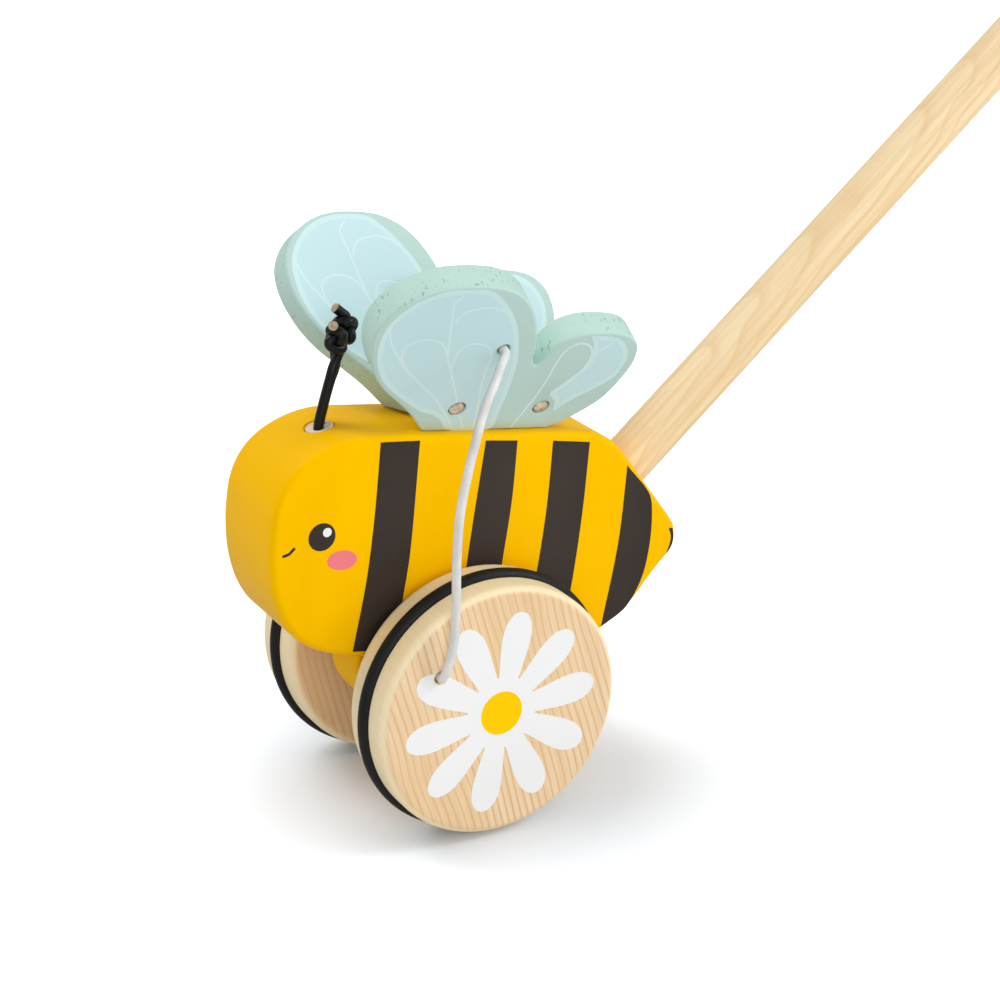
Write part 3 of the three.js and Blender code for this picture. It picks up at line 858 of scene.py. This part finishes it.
def make_body():
    outline = joined(*([on_body(s) for s in t] for t in (HEAD_SHARES, TAIL_SHARES, RUMP_SHARES)))
    body = upright_slab("bee_body", outline, BODY_THICK, BODY_EDGE, rings=8)
    socket = drill(
        HANDLE_ENTRY, -HANDLE_WAY, HANDLE_IN_BODY + FIT_GAP, HANDLE_RADIUS + FIT_GAP, BEE_FRAME,
        SOCKET_FLARE)
    recess = drill(
        BUSH_TOP - BUSH_WAY * BUSH_STAND, -BUSH_WAY, BUSH_DEPTH, BUSH_RADIUS + FIT_GAP, BEE_FRAME,
        BUSH_SEAT_FLARE)
    groove_half = RIB_THICK / 2 + FIT_GAP
    groove = slab(
        "cutter", rib_outline(FIT_GAP), -groove_half, groove_half, RIB_GROOVE_EDGE, BEE_UPRIGHT, 1)
    carve(body, [socket, recess, groove])
    finished(body, "bee", YELLOW, "yellow_paint", "body_block", "block_dowel_front", "block_dowel_rear")


make_body()


def make_block():
    points = [Vector(s) for s in BLOCK_SHARES]
    points += [Vector((1 - x, y)) for x, y in reversed(BLOCK_SHARES[:-1])]
    top = BODY_ABOVE - FIT_GAP
    points = [((p.x - 0.5) * BLOCK_LENGTH, top - BLOCK_DEPTH + p.y * BLOCK_DEPTH) for p in points]
    block = upright_slab("bee_axle_block", joined(points), BLOCK_THICK, BLOCK_EDGE)
    bore = rounded_bar(
        "cutter", (0, -BLOCK_THICK, 0), (0, 1, 0), 2 * BLOCK_THICK, AXLE_RADIUS + AXLE_CLEARANCE,
        BEE_FRAME)
    carve(block, [bore])
    finished(block, "bee", YELLOW, "yellow_paint", "axle_block")


make_block()

# Prints on the body, for both flanks, as (along, up) in the level body's frame
STRIPES = (
    (((-37.9, 77.8), (-37.0, 55.4), (-37.1, 35.4), (-38.9, 12.6)),
     ((-24.0, 12.2), (-24.2, 26.6), (-23.6, 41.9), (-25.0, 78.0))),
    (((-2.7, 77.4), (-3.6, 38.2), (-3.2, 12.4)),
     ((8.4, 12.4), (8.8, 37.5), (9.2, 58.4), (8.3, 77.1))),
    (((20.9, 76.7), (22.0, 55.9), (21.8, 34.1), (20.9, 12.4)),
     ((34.4, 12.4), (35.2, 28.3), (35.3, 52.1), (34.2, 75.9))),
    (((49.4, 67.8), (50.4, 43.1), (48.7, 14.3)),
     ((48.7, 14.3), (56.8, 20.2), (61.2, 29.4), (62.4, 40.1), (61.4, 51.9), (59.5, 57.9),
      (49.4, 67.8))),
)
STINGER = ((68.9, 46.3), (70.3, 43.1), (69.6, 37.7), (71.0, 40.5), (71.2, 43.6), (70.2, 46.4))
EYE = ((-53.4, 49.5), (4.3, 4.3))
GLINT = ((-51.9, 50.9), (1.4, 1.4))
CHEEK = ((-46.0, 42.0), (4.85, 3.05))
SMILE = ((-65.0, 44.2), (-63.5, 44.7), (-62.0, 46.3))
SMILE_WIDTH = 0.9


def ribbon(points, width):
    """The outline of a painted line with round ends."""
    line = spaced(smooth_curve(points), RIBBON_GAP)
    half = width / 2
    turns = [math.pi * k / 8 for k in range(1, 8)]
    outline = []
    for run in (line, line[::-1]):
        for i, spot in enumerate(run):
            way = way_along(run, i)
            across = Vector((-way.y, way.x, 0))
            outline.append(spot + across * half)
        outline += [spot + (across * math.cos(t) + way * math.sin(t)) * half for t in turns]
    return outline


def print_on_flank(name, outline, material, layer=1):
    outline = anticlockwise([p.xy for p in outline])
    for side, label in SIDES:
        face = -side * BODY_THICK / 2
        rings = [
            [(p.x, p.y, z) for p in outline] for z in sorted((face, face - side * PRINT * layer))]
        finished(loft(f"{name}_{label}", rings, BEE_UPRIGHT), "bee", material, "yellow_paint")


for index, (front_edge, rear_edge) in enumerate(STRIPES):
    print_on_flank(f"stripe_{index + 1}", joined(front_edge, rear_edge), CHARCOAL)
print_on_flank("stinger", joined(STINGER[:3], STINGER[2:]), CHARCOAL)
print_on_flank("eye", ellipse(*EYE), CHARCOAL)
print_on_flank("eye_glint", ellipse(*GLINT), WHITE_PRINT, 2)
print_on_flank("cheek", ellipse(*CHEEK), PINK_PRINT)
print_on_flank("smile", ribbon(SMILE, SMILE_WIDTH), CHARCOAL)


# Wheels

def wheel_profile():
    groove = TYRE_RADIUS + FIT_GAP
    start = math.degrees(math.acos((WHEEL_RADIUS - TYRE_MIDDLE) / groove))
    middle = WHEEL_WIDTH / 2
    inner, outer = WHEEL_INNER_EDGE, WHEEL_OUTER_EDGE
    bore = AXLE_RADIUS + FIT_GAP
    profile = [(0, AXLE_IN_WHEEL + FIT_GAP), (bore, AXLE_IN_WHEEL + FIT_GAP), (bore, 0)]
    profile += arc((WHEEL_RADIUS - inner, inner), inner, -90, 0, 8)
    profile += arc((TYRE_MIDDLE, middle), groove, -start, start - 360, 14)
    profile += arc((WHEEL_RADIUS - outer, WHEEL_WIDTH - outer), outer, 0, 90, 8)
    profile.append((0, WHEEL_WIDTH))
    return profile


def daisy_outline():
    outline = []
    spacing = 360 / DAISY_PETALS
    sides = smooth_curve(PETAL_SHAPE, steps=4)
    for k in range(DAISY_PETALS):
        turn = math.radians(DAISY_TURN + spacing * k)
        way = Vector((math.cos(turn), math.sin(turn)))
        across = Vector((-way.y, way.x))
        outline += [way * p.x - across * p.y for p in sides]
        outline += [way * p.x + across * p.y for p in reversed(sides[:-1])]
    return outline


WHEEL_HOLE = upright_way(CORD_HOLE_TURN) * CORD_HOLE_REACH


def make_wheel(side, label):
    profile = [(r, side * (WHEEL_INNER + y)) for r, y in wheel_profile()]
    wheel = lathe(f"bee_wheel_{label}", profile, WHEEL_FRAME, 192)
    outside = Vector((0, side, 0))
    mouth = WHEEL_HOLE + outside * WHEEL_OUTER
    hole = drill(mouth, -outside, WHEEL_WIDTH, FLAP_HOLE_RADIUS, WHEEL_FRAME, HOLE_FLARE)
    pocket_mouth = WHEEL_HOLE + outside * WHEEL_INNER
    pocket = drill(pocket_mouth, outside, POCKET_DEPTH, POCKET_RADIUS, WHEEL_FRAME, POCKET_FLARE)
    carve(wheel, [hole, pocket])
    finished(wheel, "wheelset", MAPLE, "maple", f"wheel_{label}")

    centre = (TYRE_MIDDLE, side * (WHEEL_INNER + WHEEL_WIDTH / 2))
    ring = arc(centre, TYRE_RADIUS, 0, 360 - 360 / TYRE_SIDES, TYRE_SIDES - 1)
    tyre = lathe(f"bee_tyre_{label}", ring, WHEEL_FRAME, 192, closed=True)
    finished(tyre, "wheelset", RUBBER, "black_rubber", f"tyre_{label}")

    painted = painting((
        (None, ellipse((WHEEL_HOLE.x, WHEEL_HOLE.z), [FLAP_HOLE_RADIUS + HOLE_FLARE] * 2)),
        (1, ellipse((0, 0), (DAISY_HEART, DAISY_HEART))),
        (0, daisy_outline()),
    ))
    paint_layer(
        f"daisy_{label}", painted, -side * WHEEL_OUTER, -side, WHEEL_FRAME @ UPRIGHT,
        (WHITE_PRINT, YELLOW_PRINT), "wheelset")


for side, label in SIDES:
    make_wheel(side, label)


# Wings

BLUE_FORE = (
    (-26.8, 44.0), (-25.0, 47.9), (-22.0, 51.9), (-18.0, 54.9), (-13.2, 57.0), (-7.1, 57.8),
    (-2.1, 57.8), (1.4, 57.0), (5.7, 53.9), (10.7, 48.9), (15.0, 42.8), (18.2, 36.1),
    (20.4, 30.4), (21.8, 24.0), (22.7, 17.6), (23.4, 10.4), (23.7, 5.4), (23.9, 0.4),
    (8.2, 0.4), (5.4, 3.8), (1.4, 6.7), (-2.9, 8.2), (-7.1, 10.8), (-12.1, 14.2), (-17.1, 18.2),
    (-21.1, 22.4), (-24.3, 27.5), (-26.3, 32.8), (-27.3, 39.0),
)
BLUE_HIND = (
    (41.8, 39.2), (47.1, 39.2), (51.8, 38.2), (55.4, 35.6), (57.9, 31.6), (58.6, 26.9),
    (57.5, 21.9), (54.3, 18.3), (50.0, 14.7), (45.7, 11.1), (42.6, 7.4), (41.2, 11.6),
    (38.6, 14.0), (37.9, 15.4), (40.0, 18.3), (42.9, 22.6), (45.0, 26.9), (45.7, 31.1),
    (45.0, 33.3), (43.6, 36.5),
)
VEINS = (
    ((-26.4, 43.3), (-23.6, 37.2), (-19.6, 31.9), (-16.1, 27.6), (-10.7, 22.6), (-5.0, 17.6),
     (0.0, 13.3), (3.9, 8.6), (7.9, 4.0), (10.1, 0.6)),
    ((-16.1, 27.6), (-18.2, 31.9), (-18.2, 35.4), (-16.1, 37.4), (-12.1, 38.3), (-8.2, 37.2),
     (-5.4, 34.7), (-2.9, 30.4), (0.0, 25.4), (2.9, 20.4), (5.7, 15.4), (8.7, 10.0),
     (10.7, 6.1), (13.9, 0.6)),
    ((0.0, 25.4), (-0.6, 29.7), (-0.4, 33.3), (1.1, 35.8), (4.3, 36.5), (7.9, 35.4),
     (10.4, 32.9), (11.5, 28.0), (11.8, 24.0), (12.9, 18.3), (15.0, 11.1), (17.5, 0.6)),
    ((-9.6, 52.2), (-8.9, 49.7), (-7.5, 45.4), (-6.1, 40.4), (-4.6, 35.4), (-2.9, 30.4)),
    ((-6.1, 44.7), (-5.7, 47.2), (-3.6, 49.4), (0.0, 50.6), (3.9, 50.8), (7.5, 49.7),
     (10.7, 47.9)),
    ((-9.6, 52.2), (-8.6, 54.4), (-7.5, 55.4)),
    ((30.7, 0.6), (32.1, 7.6), (33.6, 14.7), (34.3, 21.9), (34.4, 28.3), (35.4, 33.3),
     (37.1, 35.4), (39.6, 36.3), (42.5, 35.4), (44.6, 33.3), (45.4, 30.0), (45.0, 26.1),
     (42.9, 21.1), (39.3, 16.5)),
    ((45.8, 31.9), (48.2, 34.0), (50.0, 36.5)),
)
VEIN_WIDTH = 0.65
PALE_BAND = 1.6


def wing_outline():
    curve = [(x * WING_BASE, y * WING_HEIGHT) for x, y in WING_SHARES]
    down = WING_THICK * math.tan(math.radians(WING_BEVEL)) + 2 * WING_EDGE
    foot = [(WING_FOOT_SLOPE * down, -down), (WING_BASE - WING_FOOT_SLOPE * down, -down)]
    return foot + spaced(smooth_curve([(WING_BASE, 0), *curve, (0, 0)]), WING_GAP)


def closed_curve(points):
    line = smooth_curve(points, closed=True)
    return spaced(line + line[:1], WING_GAP)[:-1]


def wing_spots():
    """The wing's holes: their middles along and up the plate, and their radii."""
    hinges = [(share * WING_BASE, HINGE_UP, HINGE_HOLE_RADIUS) for share in HINGE_SHARES]
    return [(FLAP_ALONG, FLAP_UP, FLAP_HOLE_RADIUS), *hinges]


def wing_painting():
    """Bare wood in the holes, then the veins, the blue and its pale edge."""
    areas = [(None, ellipse((x, y), [radius + HOLE_FLARE] * 2)) for x, y, radius in wing_spots()]
    areas += [(2, ribbon(vein, VEIN_WIDTH)) for vein in VEINS]
    for blue in (BLUE_FORE, BLUE_HIND):
        outline = anticlockwise([p.xy for p in closed_curve(blue)])
        areas += [(1, inset(outline, PALE_BAND)), (0, outline)]
    return painting(areas)


def bevel_cutter(side, matrix):
    """All that lies under the wing's bevelled underside."""
    slope = -side * math.tan(math.radians(WING_BEVEL))
    low, high = -2 * WING_THICK, 2 * WING_THICK
    section = ((slope * low, low), (slope * high, high), (-WING_HEIGHT, high), (-WING_HEIGHT, low))
    ends = (-WING_BASE, 2 * WING_BASE)
    return loft("cutter", [[(x, y, z) for y, z in section] for x in ends], matrix)


def make_wing(side, label, painted):
    matrix = wing_frame(side)
    low, high = (-WING_THICK, 0) if side == LEFT else (0, WING_THICK)
    body = f"{label}_wing"
    wing = slab(f"bee_wing_{label}", wing_outline(), low, high, WING_EDGE, matrix)
    cutters = [bevel_cutter(side, matrix)]
    for x, y, radius in wing_spots():
        for face, way in ((high, -1), (low, 1)):
            depth = WING_THICK / 2 + (DRILL_OVERLAP if way < 0 else 0)
            cutters.append(drill((x, y, face), (0, 0, way), depth, radius, matrix, HOLE_FLARE))
    carve(wing, cutters)
    finished(wing, body, SAGE, "sage_paint", f"wing_{label}")
    for face, out, where in ((high, 1, "upper"), (low, -1, "lower")):
        paint_layer(
            f"wing_print_{where}_{label}", painted, face, out, matrix,
            (PALE_PRINT, BLUE_PRINT, VEIN_PRINT), body)


WING_PAINTING = wing_painting()
for side, label in SIDES:
    make_wing(side, label, WING_PAINTING)


# Handle

def make_handle():
    foot = HANDLE_ENTRY - HANDLE_WAY * HANDLE_IN_BODY
    length = HANDLE_IN_BODY + HANDLE_OUT
    stick = rounded_bar(
        "bee_handle", foot, HANDLE_WAY, length, HANDLE_RADIUS, BEE_FRAME, HANDLE_EDGE, 96)
    finished(stick, "bee", PINE, "pine", "handle_dowel")
    end = HANDLE_ENTRY + HANDLE_WAY * HANDLE_OUT
    profile = arc((0, KNOB_RADIUS - KNOB_BORE), KNOB_RADIUS, -90, 90, 48)
    profile = [(max(r, 0), y) for r, y in profile]
    knob = lathe("bee_handle_ball", profile, BEE_FRAME, 96)
    knob.data.transform(turned_to(HANDLE_WAY, end))
    below = KNOB_BORE - KNOB_RADIUS + math.sqrt(KNOB_RADIUS ** 2 - HANDLE_RADIUS ** 2)
    bore = drill(
        end - HANDLE_WAY * below, HANDLE_WAY, KNOB_BORE, HANDLE_RADIUS + FIT_GAP, BEE_FRAME, KNOB_FLARE)
    carve(knob, [bore])
    finished(knob, "bee", PINE, "pine", "handle_knob")


make_handle()


# Small turned and sawn pieces

def make_small_pieces():
    rib = upright_slab("bee_wing_rib", rib_outline(), RIB_THICK, RIB_EDGE)
    cutters = []
    for share in HINGE_SHARES:
        start = (WING_FRONT + share * WING_BASE, -RIB_THICK / 2, BODY_TOP + RIB_HOLE_UP)
        cutters.append(drill(
            start, (0, 1, 0), 2 * RIB_THICK, HINGE_HOLE_RADIUS, BEE_FRAME, RIB_HOLE_FLARE))
    carve(rib, cutters)
    finished(rib, "bee", YELLOW, "yellow_paint", "wing_rib")

    bush = rounded_bar(
        "bee_antenna_bush", BUSH_TOP, -BUSH_WAY, BUSH_DEPTH, BUSH_RADIUS, BEE_FRAME, BUSH_EDGE)
    holes = []
    for side, _ in SIDES:
        mouth = BUSH_TOP + Vector((side * ANTENNA_STEP[0], side * ANTENNA_STEP[1], 0))
        holes.append(drill(
            mouth + BUSH_WAY, -BUSH_WAY, 2 * BUSH_DEPTH, ANTENNA_RADIUS + ANTENNA_CLEARANCE, BEE_FRAME,
            flare=0))
    carve(bush, holes)
    finished(bush, "bee", BUSH_WOOD, "birch", "antenna_bush")

    inner = AXLE_RADIUS + AXLE_CLEARANCE
    outer = inner + SPACER_WALL
    near, far = BLOCK_THICK / 2 + FIT_GAP, WHEEL_INNER - FIT_GAP
    for side, label in SIDES:
        corners = (
            (inner, near), (outer - SPACER_EDGE, near), (outer, near + SPACER_EDGE),
            (outer, far - SPACER_EDGE), (outer - SPACER_EDGE, far), (inner, far),
        )
        ring = lathe(
            f"bee_spacer_{label}", [(r, side * y) for r, y in corners], WHEEL_FRAME, 64, closed=True)
        finished(ring, "bee", BIRCH, "birch", f"spacer_{label}")


make_small_pieces()


# Cords

def overhand(middle, way, side, size, height):
    """An overhand knot that is entered and left along a direction; its loops lie on the given side."""
    way, side = Vector(way).normalized(), Vector(side).normalized()
    third = way.cross(side)
    tail_along, tail_out, tail_up = KNOT_TAIL
    shape = [(-tail_along, tail_out, tail_up)]
    for k in range(KNOT_STEPS + 1):
        t = -KNOT_SPAN + 2 * KNOT_SPAN * k / KNOT_STEPS
        shape.append((
            math.sin(t) + 2 * math.sin(2 * t),
            math.cos(t) - 2 * math.cos(2 * t),
            -math.sin(3 * t),
        ))
    shape.append((tail_along, tail_out, -tail_up))
    return [
        Vector(middle) + (way * a + side * b) * size + third * c * height for a, b, c in shape]


# Each antenna: its side, its stem above the bush, its knot's middle, way and side, and its tip
ANTENNAE = (
    ("left", LEFT,
     ((-0.4, -1.7, 6.1), (0.1, -1.9, 10.0), (0.6, -2.1, 13.8), (1.2, -2.2, 18.0)),
     (1.1, -2.6, 27.0), (-0.1, -0.1, 1.0), (-0.46, -0.81, 0.1),
     ((-1.7, -5.2, 31.6),)),
    ("right", RIGHT,
     ((1.4, 1.3, 6.1), (1.9, 1.1, 10.0), (2.5, 0.9, 13.8), (3.6, 1.0, 18.5)),
     (5.9, 2.2, 28.4), (0.1, 0.0, 1.0), (1.0, -0.5, 0.0),
     ((6.0, 2.3, 32.2), (4.2, 2.4, 33.6), (2.3, 2.5, 34.9))),
)


def make_antennae():
    for label, hand, stem, middle, way, side, tip in ANTENNAE:
        foot = BUSH_TOP + Vector((hand * ANTENNA_STEP[0], hand * ANTENNA_STEP[1], 0))
        knot = overhand(middle, way, side, ANTENNA_KNOT_SIZE, ANTENNA_KNOT_HEIGHT)
        route = [foot - BUSH_WAY * ANTENNA_DEEP, foot]
        route += [BUSH_TOP + Vector(p) for p in (*stem, *knot, *tip)]
        line = smooth_curve(route, steps=6)
        cord = tube(f"bee_antenna_{label}", line, ANTENNA_RADIUS, BEE_FRAME)
        finished(cord, "bee", BLACK_CORD, "black_cord", f"antenna_cord_{label}")
        core_way = (line[-1] - line[-2]).normalized()
        core = rounded_bar(
            f"bee_antenna_core_{label}", line[-1] - core_way * CORE_SUNK, core_way, CORE_LENGTH,
            CORE_RADIUS, BEE_FRAME, CORE_EDGE, 24)
        finished(core, "bee", COTTON, "natural_cord")


make_antennae()


def hidden_knot(middle, way, side):
    """A flap cord's knot in metres, moved square to its way until its points lie evenly about the middle."""
    knot = overhand(middle, way, side, KNOT_SIZE, KNOT_HEIGHT)
    drift = sum(knot, Vector()) / len(knot) - middle
    drift -= way * drift.dot(way)
    return [(p - drift) * MM for p in knot]


def on_wing(side, along, up, depth):
    """A spot of the wing in from its outer face, in the row frame."""
    return wing_frame(side) @ (Vector((along, up, side * depth)) * MM)


def flap_line(side):
    """The cord's route from the knot in the wheel to the knot behind the wing, in the row frame."""

    def on_wheel(distance):
        return WHEEL_FRAME @ ((WHEEL_HOLE + Vector((0, side * distance, 0))) * MM)

    def in_hole(depth):
        return on_wing(side, FLAP_ALONG, FLAP_UP, depth)

    start, end = on_wheel(WHEEL_OUTER), in_hole(0)
    pocket_end = WHEEL_INNER + POCKET_DEPTH
    route = hidden_knot(
        on_wheel(pocket_end - KNOT_REACH) / MM, Vector((0, side, 0)), WHEEL_KNOT_SIDE)
    route += [
        on_wheel(pocket_end + KNOT_LEAD), on_wheel(WHEEL_OUTER - FLAP_CORD_RADIUS), start,
        on_wheel(WHEEL_OUTER + FLAP_CORD_RADIUS / 2),
    ]
    reach = side * (WHEEL_OUTER + FLAP_BOW_REACH) * MM
    for share, ahead, out in FLAP_SHARES:
        spot = start.lerp(end, share)
        spot.x -= ahead * FLAP_BOW_AHEAD * MM
        spot.y += (reach - spot.y) * out
        route.append(spot)
    route += [
        in_hole(-FLAP_CORD_RADIUS), end, in_hole(FLAP_CORD_RADIUS), in_hole(WING_THICK + KNOT_GAP)]
    inward = (in_hole(1) - in_hole(0)).normalized()
    along = wing_frame(side).to_3x3() @ Vector((1, 0, 0))
    route += hidden_knot(in_hole(WING_THICK + KNOT_REACH) / MM, inward, along)
    route.append(in_hole(WING_THICK + 2 * KNOT_REACH + KNOT_GAP))
    return [p / MM for p in smooth_curve(route, steps=6)], start, end


def half_cord(name, line, radius, material, node, dome=0.0):
    """Half of a cord that crosses a joint; its open end meets the other half."""
    cord = tube(name, line, radius, ROW_FRAME, open_end=True, dome=dome)
    cord.data.materials.append(material)
    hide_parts(node)
    return cord


def make_flap_cord(side, label):
    line, start, end = flap_line(side)
    middle = (start.z + end.z) / 2 / MM
    split = next(i for i, p in enumerate(line) if p.z > middle)
    halves = (
        ("lower", line[:split + 1], start, "wheelset"),
        ("upper", line[split:][::-1], end, f"{label}_wing"),
    )
    for name, run, mouth, body in halves:
        cord = half_cord(
            f"bee_flap_cord_{name}_{label}", run, FLAP_CORD_RADIUS, WHITE_CORD,
            f"flap_cord_{label}")
        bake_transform(cord)


for side, label in SIDES:
    make_flap_cord(side, label)


def make_hinge_cord(index, where, side, label):
    """Half a hinge cord, from its domed end in the wing's outer face to the middle of the rib."""
    along = HINGE_SHARES[index] * WING_BASE
    route = [on_wing(side, along, HINGE_UP, depth) for depth in (
        HINGE_CORD_SUNK, WING_THICK / 2, WING_THICK, WING_THICK + HINGE_CORD_RADIUS / 2)]
    height = BODY_TOP + RIB_HOLE_UP
    for out in (RIB_THICK / 2 + HINGE_CORD_RADIUS / 2, 0):
        spot = Vector((WING_FRONT + along, side * out, height))
        route.append(BEE_FRAME @ (spot * MM))
    line = [p / MM for p in smooth_curve(route, steps=6)]
    cord = half_cord(
        f"bee_hinge_cord_{where}_{label}", line, HINGE_CORD_RADIUS, COTTON,
        f"hinge_cord_{where}", HINGE_CORD_DOME)
    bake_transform(cord)


for index, where in enumerate(("front", "rear")):
    for side, label in SIDES:
        make_hinge_cord(index, where, side, label)

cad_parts["axle_rod"].data.materials.clear()
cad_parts["axle_rod"].data.materials.append(BIRCH)


# Studio

def make_camera():
    azimuth, elevation = math.radians(CAMERA_AZIMUTH), math.radians(CAMERA_ELEVATION)
    back = Vector((
        math.sin(azimuth) * math.cos(elevation), -math.cos(azimuth) * math.cos(elevation),
        math.sin(elevation),
    ))
    right = Vector((math.cos(azimuth), math.sin(azimuth), 0))
    up = back.cross(right)
    step = CAMERA_DISTANCE * MM / FOCAL_PIXELS
    half = IMAGE_PIXELS / 2
    data = bpy.data.cameras.new("camera")
    data.sensor_width = SENSOR_WIDTH
    data.lens = FOCAL_PIXELS * SENSOR_WIDTH / IMAGE_PIXELS
    camera = add_object("camera", data)
    place = axle + back * CAMERA_DISTANCE * MM
    place += right * (half - AXLE_PIXEL[0]) * step + up * (AXLE_PIXEL[1] - half) * step
    turn = Matrix((right, up, back)).transposed().to_4x4()
    camera.matrix_world = Matrix.Translation(place) @ turn
    bpy.context.scene.camera = camera


def make_lamp(name, place, size, power):
    data = bpy.data.lights.new(name, "AREA")
    data.size = size
    data.energy = power
    light = add_object(name, data)
    light.location = place
    way = Vector(LAMP_TARGET) - Vector(place)
    light.rotation_euler = way.to_track_quat("-Z", "Y").to_euler()


def make_stage():
    look = Look("white_floor", 0.9, 0.1)
    seen = look.node("ShaderNodeLightPath").outputs["Is Camera Ray"]
    look.paint(look.mix(seen, colour(*FLOOR_BOUNCE), colour(*FLOOR_SEEN)))
    spot = look.node("ShaderNodeTexCoord").outputs["Object"]
    away = look.node("ShaderNodeVectorMath", **{"0": spot, "1": SHADOW_MIDDLE})
    away.operation = "DISTANCE"
    glow = look.ramp(away.outputs["Value"], *FLOOR_GLOW)
    look.shader.inputs["Emission Color"].default_value = (1, 1, 1, 1)
    look.put(look.shader, "Emission Strength", look.maths("MULTIPLY", seen, glow))
    bpy.ops.mesh.primitive_plane_add(size=FLOOR_SIZE, location=(0, 0, 0))
    floor = bpy.context.object
    floor.name = "studio_floor"
    floor.data.materials.append(look.material)


def make_world():
    world = bpy.data.worlds.new("studio")
    bpy.context.scene.world = world
    world.use_nodes = True
    tree = world.node_tree
    background = tree.nodes["Background"]
    background.inputs["Color"].default_value = (1, 1, 1, 1)
    seen = tree.nodes.new("ShaderNodeLightPath").outputs["Is Camera Ray"]
    strength = tree.nodes.new("ShaderNodeMapRange")
    strength.inputs["To Min"].default_value = WORLD_LIGHT
    tree.links.new(seen, strength.inputs["Value"])
    tree.links.new(strength.outputs["Result"], background.inputs["Strength"])


make_camera()
make_stage()
make_world()
for each in LAMPS:
    make_lamp(*each)

bpy.context.scene.view_settings.view_transform = "Standard"
